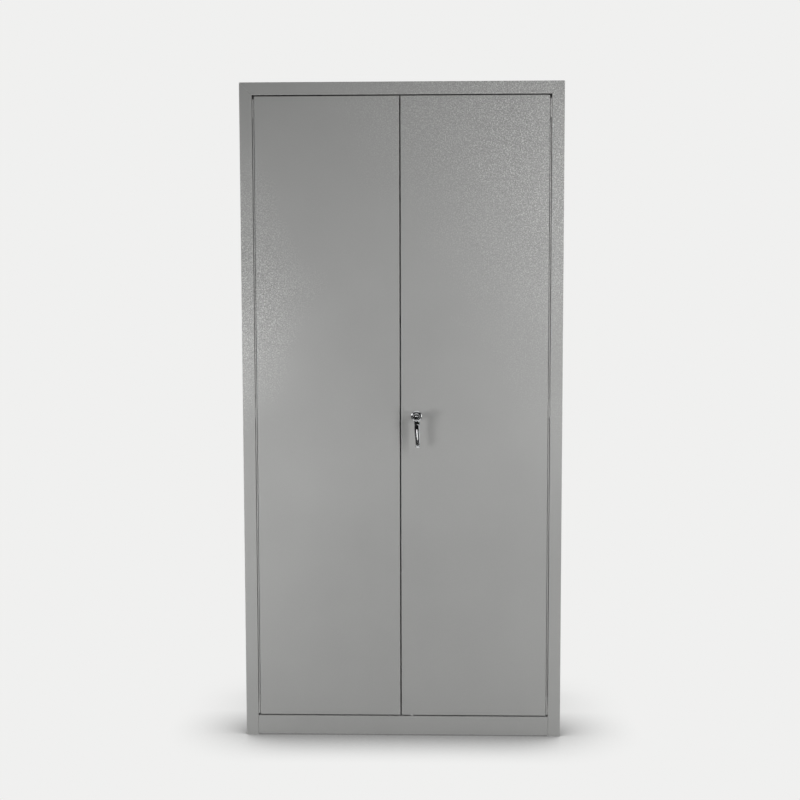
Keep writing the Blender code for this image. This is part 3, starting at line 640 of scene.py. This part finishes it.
class Workshop:
    """Makes objects out of meshes, dresses them and seats them on the frame's bodies."""

    def __init__(self, frame: dict) -> None:
        """Keeps the frame and makes the four finishes.
        """
        self.nodes = frame["nodes"]
        self.finishes = {
            Slot.PAINT: PowderCoat().material(),
            Slot.CHROME: ChromePlate().material(),
            Slot.ZINC: ZincPlate().material(),
            Slot.RUBBER: BufferRubber().material(),
        }
        self.count = 0

    def copy_of(self, node: str) -> BMesh:
        """Copies a solid's mesh, merged and with its flat faces whole again.

        Args:
            node: the name of the solid.

        Returns:
            The copy.
        """
        work = bmesh.new()
        work.from_mesh(self.nodes[node].data)
        bmesh.ops.remove_doubles(work, verts=work.verts, dist=COPY_MERGE_REACH)
        flat = math.radians(COPY_FLAT_ANGLE)
        bmesh.ops.dissolve_limit(work, angle_limit=flat, verts=work.verts, edges=work.edges)
        return work

    def seat(
        self, name: str, work: BMesh, slot: Slot, body: Body, stands_for: Sequence[str] = (),
        flat_first: bool = True,
    ) -> bpy.types.Object:
        """Makes a piece of a mesh and seats it on its body.

        Args:
            name: the piece's name.
            work: its mesh, in place; it is freed.
            slot: the finish it takes.
            body: the body it rides on.
            stands_for: the solids that it replaces.
            flat_first: whether large faces keep their own normal where they meet small ones.

        Returns:
            The new piece.
        """
        for face in work.faces:
            face.smooth = True
        piece = shown(work, name)
        piece.data.materials.append(self.finishes[slot])
        if flat_first:
            weigh = piece.modifiers.new("flat faces first", "WEIGHTED_NORMAL")
            weigh.mode = "FACE_AREA"
            weigh.keep_sharp = True
        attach(piece, body.value)
        if stands_for:
            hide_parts(*stands_for)
        self.count += 1
        LOG.info("%s: %d faces, rides on %s", name, len(piece.data.polygons), body.value)
        return piece

    def refine(self, node: str, slot: Slot, body: Body, edge: float) -> bpy.types.Object:
        """Replaces a solid by its own shape with rounded edges."""
        return self.seat(f"{node}_piece", soften_edges(self.copy_of(node), edge), slot, body, (node,))


@dataclass
class Assembly:
    """A sub-assembly, which makes and seats its pieces in the workshop."""

    shop: Workshop


@dataclass
class Carcass(Assembly):
    """The fixed sheet metal: sides, posts, top, back, floor and bottom rail."""

    sheet_edge: float = 0.00018
    sheets: tuple[str, ...] = (
        "left_front_post", "right_front_post", "back_panel", "floor_panel", "bottom_rail",
    )
    weld_radius: float = 0.0028
    weld_depth: float = 0.00030
    weld_inset: float = 0.0080
    weld_end: float = 0.0400
    weld_steps: int = 16
    welds_up: int = 16
    welds_across: int = 9

    def build(self) -> None:
        """Seats every sheet."""
        for node in self.sheets:
            self.shop.refine(node, Slot.PAINT, Body.CABINET, self.sheet_edge)
        inset, end = self.weld_inset, self.weld_end
        for side in Side:
            node = f"{side.word}_side_panel"
            low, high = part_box(node)
            x = side.outer(low, high) - side.value * inset
            first, last = Vector((x, high.y, low.z + end)), Vector((x, high.y, high.z - end))
            self.welded(node, first, last, self.welds_up)
        low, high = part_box("top_panel")
        z = high.z - inset
        first, last = Vector((low.x + end, high.y, z)), Vector((high.x - end, high.y, z))
        self.welded("top_panel", first, last, self.welds_across)

    def welded(self, node: str, first: Vector, last: Vector, count: int) -> None:
        """Seats a sheet whose rear flange has a row of spot welds, each a shallow dimple.

        Args:
            node: the solid that the sheet replaces.
            first: the middle of the first weld, on the flange.
            last: the middle of the last weld.
            count: how many welds the row has.
        """
        tools, shallow = [], self.weld_depth / self.weld_radius
        for step in range(count):
            tool = bmesh.new()
            bmesh.ops.create_uvsphere(
                tool, u_segments=self.weld_steps, v_segments=self.weld_steps // 2,
                radius=self.weld_radius,
            )
            bmesh.ops.scale(tool, vec=(1.0, shallow, 1.0), verts=tool.verts)
            bmesh.ops.translate(tool, vec=first.lerp(last, step / (count - 1)), verts=tool.verts)
            tools.append(tool)
        work = carved(soften_edges(self.shop.copy_of(node), self.sheet_edge), joined(tools))
        self.shop.seat(f"{node}_piece", work, Slot.PAINT, Body.CABINET, (node,))


@dataclass
class Shelving(Assembly):
    """Shelves, the slotted uprights, and the clips that hook into the slots."""

    sheet_edge: float = 0.00018
    clip_edge: float = 0.00025
    shelves: int = 4

    def build(self) -> None:
        """Seats uprights, clips and shelves."""
        for side in Side:
            for row in ("front", "rear"):
                self.shop.refine(f"{side.word}_{row}_upright", Slot.PAINT, Body.CABINET, self.sheet_edge)
                for number in range(1, self.shelves + 1):
                    node = f"{side.word}_{row}_clip_{number}"
                    self.shop.refine(node, Slot.ZINC, Body.CABINET, self.clip_edge)
        for number in range(1, self.shelves + 1):
            self.shop.refine(f"shelf_{number}", Slot.PAINT, Body.CABINET, self.sheet_edge)


@dataclass
class Door(Assembly):
    """One door: the folded tray and its stiffener."""

    side: Side
    sheet_edge: float = 0.00018

    def build(self) -> None:
        """Seats the tray and the stiffener."""
        node = f"{self.side.word}_door"
        work = soften_edges(self.shop.copy_of(node), self.sheet_edge)
        self.shop.seat(f"{node}_tray", work, Slot.PAINT, self.side.door, (node,))
        self.shop.refine(f"{node}_stiffener", Slot.PAINT, self.side.door, self.sheet_edge)


@dataclass
class Hinges(Assembly):
    """Three pin hinges a door, painted with the cabinet."""

    edge: float = 0.00020
    places: tuple[str, ...] = ("top", "middle", "bottom")

    def build(self) -> None:
        """Seats both leaves of every hinge."""
        for side in Side:
            for place in self.places:
                hinge = f"{side.word}_{place}"
                self.shop.refine(f"{hinge}_frame_hinge", Slot.PAINT, Body.CABINET, self.edge)
                self.shop.refine(f"{hinge}_door_hinge", Slot.PAINT, side.door, self.edge)


@dataclass
class GapBeads(Assembly):
    """The thin rolled beads that fill the hinge gaps, each on a web that runs back to the post."""

    radius: float = 0.0017
    web: float = 0.0008
    web_reach: float = 0.0110
    jog_start: float = 0.0041
    jog_length: float = 0.0020
    post_gap: float = 0.0002
    hinge_gap: float = 0.0012
    shortest: float = 0.0200
    steps: int = 16
    places: tuple[str, ...] = ("bottom", "middle", "top")

    def build(self) -> None:
        """Seats a bead between each two hinges."""
        for side in Side:
            door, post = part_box(f"{side.word}_door"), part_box(f"{side.word}_front_post")
            leaves = [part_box(f"{side.word}_{place}_frame_hinge") for place in self.places]
            door_edge, opening = abs(side.outer(*door)), abs(side.outer(*leaves[-1]))
            outline = self.outline(door_edge, opening, post[0].y)
            stops = [door[0].z, *(end.z for leaf in leaves for end in leaf), door[1].z]
            for number, (low, high) in enumerate(zip(stops[::2], stops[1::2]), 1):
                low, high = low + self.hinge_gap, high - self.hinge_gap
                if high - low > self.shortest:
                    work = self.drawn(outline, side, low, high)
                    self.shop.seat(f"{side.word}_gap_bead_{number}", work, Slot.PAINT, Body.CABINET)

    def outline(self, door_edge: float, opening: float, front: float) -> list[Pair]:
        """Draws the bead from above, on the right-hand side.

        Args:
            door_edge: the X of the door's edge.
            opening: the X of the opening's wall, where the hinge leaves end.
            front: the Y of the frame's face.

        Returns:
            The points of the outline.
        """
        middle, deep = (door_edge + opening) / 2, front + self.radius
        inner, outer = middle + self.radius - self.web, middle + self.radius
        wall = opening - self.post_gap
        meets = math.asin(math.sqrt(1 - (1 - self.web / self.radius) ** 2))
        turn = math.tau - meets
        ring = [
            (middle + self.radius * math.cos(meets + turn * step / self.steps),
             deep + self.radius * math.sin(meets + turn * step / self.steps))
            for step in range(self.steps + 1)
        ]
        jog, past, back = deep + self.jog_start, self.jog_start + self.jog_length, deep + self.web_reach
        return ring + [
            (outer, jog), (wall, deep + past), (wall, back), (wall - self.web, back),
            (wall - self.web, deep + past), (inner, jog),
        ]

    def drawn(self, outline: Outline, side: Side, low: float, high: float) -> BMesh:
        """Draws an outline and pulls it up.

        Args:
            outline: the points of the right-hand bead from above.
            side: the side that it goes on.
            low: the height of its lower end.
            high: the height of its upper end.

        Returns:
            A closed mesh that faces outwards.
        """
        work = bmesh.new()
        points = [work.verts.new((side.value * x, y, low)) for x, y in outline]
        face = work.faces.new(points)
        grown = bmesh.ops.extrude_face_region(work, geom=[face])["geom"]
        tops = [item for item in grown if isinstance(item, bmesh.types.BMVert)]
        bmesh.ops.translate(work, vec=(0.0, 0.0, high - low), verts=tops)
        bmesh.ops.recalc_face_normals(work, faces=work.faces)
        return work


@dataclass
class LockWorks(Assembly):
    """What the handle moves behind the door: cam, screw, bolts, guides and the rosette's nut."""

    edge: float = 0.00025
    parts: tuple[tuple[str, Body], ...] = (
        ("cam_plate", Body.HANDLE), ("cam_screw", Body.HANDLE), ("rosette_nut", Body.RIGHT_DOOR),
        ("upper_bolt", Body.UPPER_BOLT), ("lower_bolt", Body.LOWER_BOLT),
        ("upper_bolt_guide", Body.RIGHT_DOOR), ("lower_bolt_guide", Body.RIGHT_DOOR),
    )

    def build(self) -> None:
        """Seats the works."""
        for node, body in self.parts:
            self.shop.refine(node, Slot.ZINC, body, self.edge)


@dataclass
class LockHandle(Assembly):
    """The chrome lever with its rosette, end cap and lock plug, on the axis of the lock.

    Heights in the profiles are counted from the door's face, out along the axis. Those of the
    grip and the cap are counted from the axis, downwards.
    """

    steps: int = 64
    seat_gap: float = 0.0003
    rosette_radius: float = 0.0160
    rosette_thickness: float = 0.0042
    dish_share: float = 0.86
    rosette_shares: Outline = ((0.68, 0.86), (0.72, 1.0), (0.80, 1.0), (0.94, 0.62), (1.0, 0.30))
    rosette_corner: float = 0.0005
    neck_radius: float = 0.0080
    hub_radius: float = 0.0105
    waist_radius: float = 0.0090
    hub_reach: float = 0.0330
    hub_taper: float = 0.0110
    hub_chamfer: float = 0.0011
    hub_corner: float = 0.0006
    shank_radius: float = 0.0050
    shank_square: float = 0.0066
    grip_depth: float = 0.0225
    neck_half: float = 0.0078
    grip_half: float = 0.0081
    tip_half: float = 0.0061
    grip_start: float = 0.0330
    grip_end: float = 0.0796
    grip_corner: float = 0.0008
    flatness: float = 0.62
    lean: float = 2.6
    swell_radius: float = 0.0078
    swell_below: float = 0.0190
    swell_aside: float = 0.0026
    skin_step: float = 0.00038
    skin_smoothing: float = 0.5
    skin_passes: int = 9
    bore_lip: float = 0.0007
    cap_half: float = 0.0071
    cap_gap: float = 0.0007
    cap_spigot: float = 0.0021
    cap_shares: Outline = ((0.90, 0.76), (0.78, 0.93), (0.50, 1.0), (0.0, 1.0))
    cap_corner: float = 0.0005
    plug_rim: float = 0.0003
    ring_share: float = 0.80
    plug_depth: float = 0.0200
    plug_edge: float = 0.00012
    key_width: float = 0.0013
    key_height: float = 0.0072
    key_depth: float = 0.0140
    key_shares: tuple[Triple, ...] = ((0.0, -0.5, 0.5), (0.6, -0.08, 0.22))
    plug_radius: float = field(init=False)
    foot: float = field(init=False)
    top: float = field(init=False)
    lowest: float = field(init=False)
    axis: Vector = field(init=False)

    def __post_init__(self) -> None:
        """Measures the lock plug and the lever of the frame."""
        low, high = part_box("lock_plug")
        self.plug_radius = (high.x - low.x) / 2
        self.foot = self.rosette_thickness + 2 * self.seat_gap
        self.top = self.foot + self.hub_reach
        self.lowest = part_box("handle_lever")[0].z + 2 * self.seat_gap
        self.axis = Vector(((low.x + high.x) / 2, low.y + self.top, (low.z + high.z) / 2))

    def build(self) -> None:
        """Seats rosette, lever, cap and plug."""
        self.rosette()
        self.lever()
        self.cap()
        self.plug()

    def rosette(self) -> None:
        """Seats the round plate, domed to a raised ring, with its neck through the door."""
        thick, rim, bore = self.rosette_thickness, self.rosette_radius, self.shank_radius + self.seat_gap
        neck, dish = self.axis.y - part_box("rosette")[1].y, self.rosette_thickness * self.dish_share
        profile = [
            (bore, dish), *((rim * out, thick * up) for out, up in self.rosette_shares), (rim, 0.0),
            (self.neck_radius, 0.0), (self.neck_radius, neck), (bore, neck), (bore, dish),
        ]
        plate = turned(profile, self.steps, self.rosette_corner)
        plate = laid(plate, self.axis - Vector((0, self.seat_gap, 0)))
        self.shop.seat(
            "rosette_plate", plate, Slot.CHROME, Body.RIGHT_DOOR, ("rosette",), flat_first=False
        )

    def hub(self) -> BMesh:
        """Turns the round hub with its waist, and the shank behind it.

        Returns:
            The mesh, on the axis.
        """
        rim, waist, top, foot = self.hub_radius, self.waist_radius, self.top, self.foot
        back, taper = self.axis.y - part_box("handle_lever")[1].y, self.hub_taper
        profile = [
            (0.0, top), (rim - self.hub_chamfer, top), (rim, top - self.hub_chamfer),
            (rim, top - taper), (waist, foot + taper), (waist, foot), (self.shank_radius, foot),
            (self.shank_radius, back + self.shank_square / 2), (self.shank_square / 2, back), (0.0, back),
        ]
        return laid(turned(profile, self.steps, self.hub_corner), self.axis)

    def hung(self, work: BMesh, aside: float = 0.0, below: float = 0.0) -> BMesh:
        """Presses a turned piece flat, leans it as the lever leans and hangs it from the axis.

        Args:
            work: the mesh, which is changed.
            aside: how far it stands to the right of the axis.
            below: how far it stands below the axis.

        Returns:
            The same mesh.
        """
        flat = Matrix.Diagonal((1.0, self.flatness, 1.0, 1.0))
        placed = Matrix.Translation((aside, -self.foot - self.grip_depth, -below))
        lean = Matrix.Rotation(-math.radians(self.lean), 4, "Y")
        place = Matrix.Translation(self.axis) @ lean @ placed @ flat
        bmesh.ops.transform(work, matrix=place, verts=work.verts)
        return work

    def grip(self) -> BMesh:
        """Turns the tapered grip, from inside the hub down to the cap.

        Returns:
            The mesh, in place.
        """
        neck, tip, bend = self.neck_half, self.tip_half, -self.swell_below - self.hub_radius
        profile = [
            (0.0, 0.0), (neck, 0.0), (neck, bend), (self.grip_half, -self.grip_start),
            (tip, -self.grip_end), (0.0, -self.grip_end),
        ]
        return self.hung(turned(profile, self.steps, self.grip_corner))

    def swelling(self) -> BMesh:
        """Makes the swelling beside the neck that the thumb rests on.

        Returns:
            The mesh, in place.
        """
        work = bmesh.new()
        bmesh.ops.create_uvsphere(
            work, u_segments=self.steps, v_segments=self.steps // 2, radius=self.swell_radius
        )
        return self.hung(work, self.swell_aside, self.swell_below)

    def lever(self) -> None:
        """Seats hub, grip and swelling, run together in one cast skin and bored for the plug."""
        rough = joined([self.hub(), self.grip(), self.swelling()])
        smooth = {"factor": self.skin_smoothing, "iterations": self.skin_passes}
        skin = {"mode": "VOXEL", "voxel_size": self.skin_step}
        cast = baked(rough, [("REMESH", skin), ("SMOOTH", smooth)])
        bore, top, lip = self.plug_radius + self.seat_gap, self.top, self.bore_lip
        end = top - self.plug_depth - self.seat_gap
        profile = [
            (0.0, top + lip), (bore + 2 * lip, top + lip), (bore, top - lip), (bore, end), (0.0, end),
        ]
        cast = carved(cast, laid(turned(profile, self.steps), self.axis))
        self.shop.seat(
            "lever_casting", cast, Slot.CHROME, Body.HANDLE, ("handle_lever",), flat_first=False
        )

    def cap(self) -> None:
        """Seats the flared cap that closes the lever's lower end."""
        start, gap = -self.grip_end - self.cap_gap, self.cap_gap
        spigot = start + self.cap_spigot
        length = self.axis.z + start - self.lowest
        wide, stem = self.cap_half, self.tip_half - 2 * gap
        profile = [
            (0.0, spigot), (stem, spigot), (stem, start), (wide, start - gap),
            *((wide * out, start - length * down) for out, down in self.cap_shares),
        ]
        work = self.hung(turned(profile, self.steps, self.cap_corner))
        self.shop.seat("lever_cap", work, Slot.CHROME, Body.HANDLE, flat_first=False)

    def plug(self) -> None:
        """Seats the lock plug, with a sunk ring round a keyway that has the ward of its key."""
        rim, top, lip = self.plug_radius, self.top, self.plug_rim
        end, ring = top - self.plug_depth, self.plug_radius * self.ring_share
        profile = [
            (0.0, top - lip), (ring, top - lip), (ring + lip, top), (rim - lip, top),
            (rim, top - lip), (rim, end), (0.0, end),
        ]
        work = laid(turned(profile, self.steps), self.axis)
        for aside, low, high in self.key_shares:
            slot = bmesh.new()
            bmesh.ops.create_cube(slot, size=1.0)
            size = Vector((self.key_width, 2 * self.key_depth, self.key_height * (high - low)))
            bmesh.ops.scale(slot, vec=size, verts=slot.verts)
            at = Vector((aside * self.key_width, -top, (low + high) / 2 * self.key_height))
            bmesh.ops.translate(slot, vec=self.axis + at, verts=slot.verts)
            work = carved(work, slot)
        work = soften_edges(work, self.plug_edge)
        self.shop.seat("lock_barrel", work, Slot.CHROME, Body.PLUG, ("lock_plug",))


@dataclass
class Fixings(Assembly):
    """Spot welds on the stiffeners and rivets in the bolt guides."""

    weld_radius: float = 0.0027
    weld_rise: float = 0.00025
    weld_count: int = 14
    weld_inset: float = 0.0065
    weld_end: float = 0.0300
    rivet_radius: float = 0.0021
    rivet_rise: float = 0.0011
    rivet_inset: float = 0.0040
    head_shares: Outline = ((0.55, 0.86), (0.88, 0.45), (1.0, 0.0))
    sheet: float = 0.0008
    strap: float = 0.0012
    sunk: float = 0.0001
    steps: int = 16

    def build(self) -> None:
        """Seats the fixings, one piece for each kind and body."""
        for side in Side:
            self.shop.seat(f"{side.word}_spot_welds", joined(self.welds(side)), Slot.PAINT, side.door)
        self.shop.seat("guide_rivets", joined(self.rivets()), Slot.ZINC, Body.RIGHT_DOOR)

    def head(self, radius: float, rise: float) -> BMesh:
        """A low domed head that stands on +Z, a little sunk."""
        dome = [(radius * out, rise * up) for out, up in self.head_shares]
        return turned([(0.0, rise), *dome, (radius, -self.sunk), (0.0, -self.sunk)], self.steps)

    def welds(self, side: Side) -> list[BMesh]:
        """Makes two rows of spot welds down a stiffener's flanges.

        Args:
            side: the side of the door.

        Returns:
            A mesh for each weld.
        """
        low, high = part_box(f"{side.word}_door_stiffener")
        made = []
        for x in (low.x + self.weld_inset, high.x - self.weld_inset):
            for step in range(self.weld_count):
                share = step / (self.weld_count - 1)
                z = low.z + self.weld_end + share * (high.z - low.z - 2 * self.weld_end)
                at = Vector((x, low.y + self.sheet, z))
                made.append(laid(self.head(self.weld_radius, self.weld_rise), at, inwards=True))
        return made

    def rivets(self) -> list[BMesh]:
        """Makes a rivet for each foot of both bolt guides.

        Returns:
            A mesh for each rivet.
        """
        made = []
        for which in ("upper", "lower"):
            low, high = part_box(f"{which}_bolt_guide")
            for x in (low.x + self.rivet_inset, high.x - self.rivet_inset):
                at = Vector((x, low.y + self.strap, (low.z + high.z) / 2))
                made.append(laid(self.head(self.rivet_radius, self.rivet_rise), at, inwards=True))
        return made


@dataclass
class Buffers(Assembly):
    """The two rubber pads that the doors close on, domed at the front."""

    edge: float = 0.0009

    def build(self) -> None:
        """Seats both pads."""
        for side in Side:
            self.shop.refine(f"{side.word}_door_buffer", Slot.RUBBER, Body.CABINET, self.edge)


@dataclass(frozen=True)
class SoftBox:
    """One rectangular lamp."""

    name: str
    place: Triple
    aim: Triple
    size: Pair
    power: float
    mirrored: bool = True

    def build(self) -> None:
        """Hangs the lamp and turns it to its aim."""
        data = bpy.data.lights.new(self.name, "AREA")
        data.shape = "RECTANGLE"
        data.size, data.size_y = self.size
        data.energy = self.power
        lamp = bpy.data.objects.new(self.name, data)
        bpy.context.scene.collection.objects.link(lamp)
        lamp.location = self.place
        way = Vector(self.aim) - Vector(self.place)
        lamp.rotation_euler = way.to_track_quat("-Z", "Y").to_euler()
        lamp.visible_camera = False
        lamp.visible_glossy = self.mirrored
        LOG.info("lamp %s at %s", self.name, self.place)


@dataclass(frozen=True)
class Card:
    """A card that only reflections show, bent round the upright line through the handle's place.

    Its angles are counted from straight ahead of the doors.
    """

    name: str
    radius: float
    middle: float
    spread: float
    low: float
    high: float
    tone: float
    line: Pair = (0.0406, -0.2061)
    steps: int = 16

    def build(self) -> None:
        """Bends the card, gives it its glow on the inner face and hangs it."""
        work = bmesh.new()
        start = math.radians(self.middle - self.spread / 2)
        x, y = self.line[0] + self.radius * math.sin(start), self.line[1] - self.radius * math.cos(start)
        ends = [work.verts.new((x, y, self.low)), work.verts.new((x, y, self.high))]
        bmesh.ops.spin(
            work, geom=[*ends, work.edges.new(ends)], cent=(*self.line, 0.0), axis=(0, 0, 1),
            angle=math.radians(self.spread), steps=self.steps,
        )
        card = shown(work, self.name)
        made, bench, _ = shade(f"{self.name}_card")
        glow = bench.put("ShaderNodeEmission", {"Strength": self.tone})
        clear = bench.put("ShaderNodeBsdfTransparent")
        behind = bench.put("ShaderNodeNewGeometry").outputs["Backfacing"]
        mixed = bench.put("ShaderNodeMixShader", {0: behind, 1: glow.outputs[0], 2: clear.outputs[0]})
        bench.put("ShaderNodeOutputMaterial", {"Surface": mixed.outputs[0]})
        card.data.materials.append(made)
        card.visible_camera = False
        card.visible_diffuse = False
        card.visible_shadow = False
        card.visible_transmission = False


@dataclass
class Studio:
    """Pale floor and background, soft lamps, reflection cards and the camera."""

    pale: Colour = (0.871, 0.871, 0.864)
    ambient: float = 0.04
    floor_side: float = 60.0
    floor_cells: int = 8
    floor_drop: float = 0.0002
    floor_paint: Colour = (0.80, 0.80, 0.79)
    shadow_reach: float = 0.24
    shadow_samples: int = 12
    shadow_over: Span = (0.97, 0.44)
    shadow_depth: float = 0.80
    shadow_front: float = -0.20
    shadow_fade: float = 0.22
    shadow_behind: float = 0.22
    lamps: tuple[SoftBox, ...] = (
        SoftBox("left_near", (-0.95, -1.0, 0.90), (-0.3, -0.2, 0.90), (0.4, 0.5), 3.8, False),
        SoftBox("left_upper", (-0.95, -1.0, 1.20), (-0.3, -0.2, 1.20), (0.4, 0.5), 1.0, False),
        SoftBox("left_wide", (-1.5, -1.2, 0.60), (-0.25, -0.2, 0.60), (0.5, 0.5), 10.3),
        SoftBox("right_near", (0.95, -1.0, 1.40), (0.3, -0.2, 1.40), (0.4, 0.5), 3.9, False),
        SoftBox("right_wide", (1.5, -1.2, 0.60), (0.25, -0.2, 0.60), (0.5, 0.5), 10.2),
        SoftBox("right_upper", (1.5, -1.2, 1.60), (0.25, -0.2, 1.60), (0.5, 0.5), 8.4),
        SoftBox("front_fill", (0.0, -2.0, 1.10), (0.0, -0.2, 1.10), (0.8, 0.5), 4.1),
        SoftBox("top_softbox", (0.0, 0.7, 3.4), (0.0, 0.3, 1.8), (2.4, 1.4), 20.0),
        SoftBox("rear_softbox", (0.0, 3.4, 1.6), (0.0, 0.2, 1.0), (2.6, 2.0), 52.0, False),
        SoftBox("left_side", (-3.2, 0.9, 1.3), (-0.45, 0.1, 1.0), (1.2, 1.8), 24.0, False),
        SoftBox("right_side", (3.2, 0.9, 1.3), (0.45, 0.1, 1.0), (1.2, 1.8), 24.0, False),
    )
    cards: tuple[Card, ...] = (
        Card("dark_flag", 0.620, 0.0, 180.0, 0.420, 1.500, 0.004),
        Card("front_streak", 0.600, -3.2, 21.0, 0.768, 0.792, 2.8),
        Card("cap_glow", 0.600, 0.0, 110.0, 0.585, 0.665, 1.7),
        Card("left_spot", 0.600, -68.0, 26.0, 0.961, 1.215, 2.6),
        Card("right_spot", 0.600, 70.0, 12.0, 0.769, 1.101, 2.0),
    )
    eye: Triple = (0.1081, -4.1269, 1.3200)
    pitch: float = -5.127
    yaw: float = 1.666
    roll: float = -0.131
    lens: float = 63.0
    sensor: float = 36.0
    farthest: float = 200.0

    def build(self) -> None:
        """Sets world, floor, lamps, camera and view settings."""
        self.world()
        self.floor()
        for thing in (*self.lamps, *self.cards):
            thing.build()
        self.camera()
        bpy.context.scene.view_settings.view_transform = "Standard"

    def seen(self, bench: Bench) -> Socket:
        """Tells rays from the camera, a glossy surface or glass from all others.

        Args:
            bench: the bench of the floor or of the world.

        Returns:
            The socket of 1 for such rays and 0 for others.
        """
        path = bench.put("ShaderNodeLightPath").outputs
        share = bench.sums("MAXIMUM", path["Is Camera Ray"], path["Is Glossy Ray"])
        return bench.sums("MAXIMUM", share, path["Is Transmission Ray"])

    def world(self) -> None:
        """A pale background, and a plain dimmer light from all round."""
        world = bpy.data.worlds.new("studio")
        bpy.context.scene.world = world
        world.use_nodes = True
        bench = Bench(world.node_tree)
        light = bench.put("ShaderNodeBackground", {"Color": (1, 1, 1, 1), "Strength": self.ambient})
        backdrop = bench.put("ShaderNodeBackground", {"Color": (*self.pale, 1), "Strength": 1.0})
        mixed = bench.put(
            "ShaderNodeMixShader", {0: self.seen(bench), 1: light.outputs[0], 2: backdrop.outputs[0]}
        )
        bench.put("ShaderNodeOutputWorld", {"Surface": mixed.outputs[0]})

    def floor(self) -> None:
        """The pale floor, which keeps the object's soft shadow."""
        work = bmesh.new()
        cells = self.floor_cells
        bmesh.ops.create_grid(work, x_segments=cells, y_segments=cells, size=self.floor_side / 2)
        floor = shown(work, "studio_floor")
        floor.location.z = -self.floor_drop
        made, bench, at = shade("pale_studio_floor")
        near = bench.put(
            "ShaderNodeAmbientOcclusion", {"Distance": self.shadow_reach}, samples=self.shadow_samples
        )
        dark = bench.spread(near.outputs["AO"], self.shadow_over, (0.0, self.shadow_depth))
        back = bench.put("ShaderNodeSeparateXYZ", {"Vector": at}).outputs["Y"]
        fade = (self.shadow_front, self.shadow_front + self.shadow_fade)
        ahead = bench.spread(back, fade, (1.0, self.shadow_behind))
        tone = bench.sums("SUBTRACT", 1.0, bench.sums("MULTIPLY", dark, ahead))
        toned = bench.put("ShaderNodeVectorMath", {0: self.pale, "Scale": tone}, operation="SCALE")
        glow = bench.put("ShaderNodeEmission", {"Color": toned.outputs["Vector"], "Strength": 1.0})
        plain = bench.put("ShaderNodeBsdfDiffuse", {"Color": (*self.floor_paint, 1)})
        mixed = bench.put(
            "ShaderNodeMixShader", {0: self.seen(bench), 1: plain.outputs[0], 2: glow.outputs[0]}
        )
        bench.put("ShaderNodeOutputMaterial", {"Surface": mixed.outputs[0]})
        floor.data.materials.append(made)

    def camera(self) -> None:
        """The camera, at the photograph's place and angle."""
        data = bpy.data.cameras.new("camera")
        data.lens = self.lens
        data.sensor_width = self.sensor
        data.clip_end = self.farthest
        camera = bpy.data.objects.new("camera", data)
        bpy.context.scene.collection.objects.link(camera)
        turn = Matrix.Rotation(math.radians(self.yaw), 4, "Z")
        tilt = Matrix.Rotation(math.radians(90.0 + self.pitch), 4, "X")
        lean = Matrix.Rotation(math.radians(self.roll), 4, "Z")
        camera.matrix_world = Matrix.Translation(self.eye) @ turn @ tilt @ lean
        bpy.context.scene.camera = camera


def main() -> None:
    """Builds the cabinet's pieces in order, then the studio."""
    logging.basicConfig(level=logging.INFO, format="%(name)s: %(message)s")
    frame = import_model()
    shop = Workshop(frame)
    Carcass(shop).build()
    Shelving(shop).build()
    Hinges(shop).build()
    for side in Side:
        Door(shop, side).build()
    GapBeads(shop).build()
    LockWorks(shop).build()
    LockHandle(shop).build()
    Fixings(shop).build()
    Buffers(shop).build()
    Studio().build()
    LOG.info("%d pieces seated", shop.count)


if __name__ == "__main__":
    main()
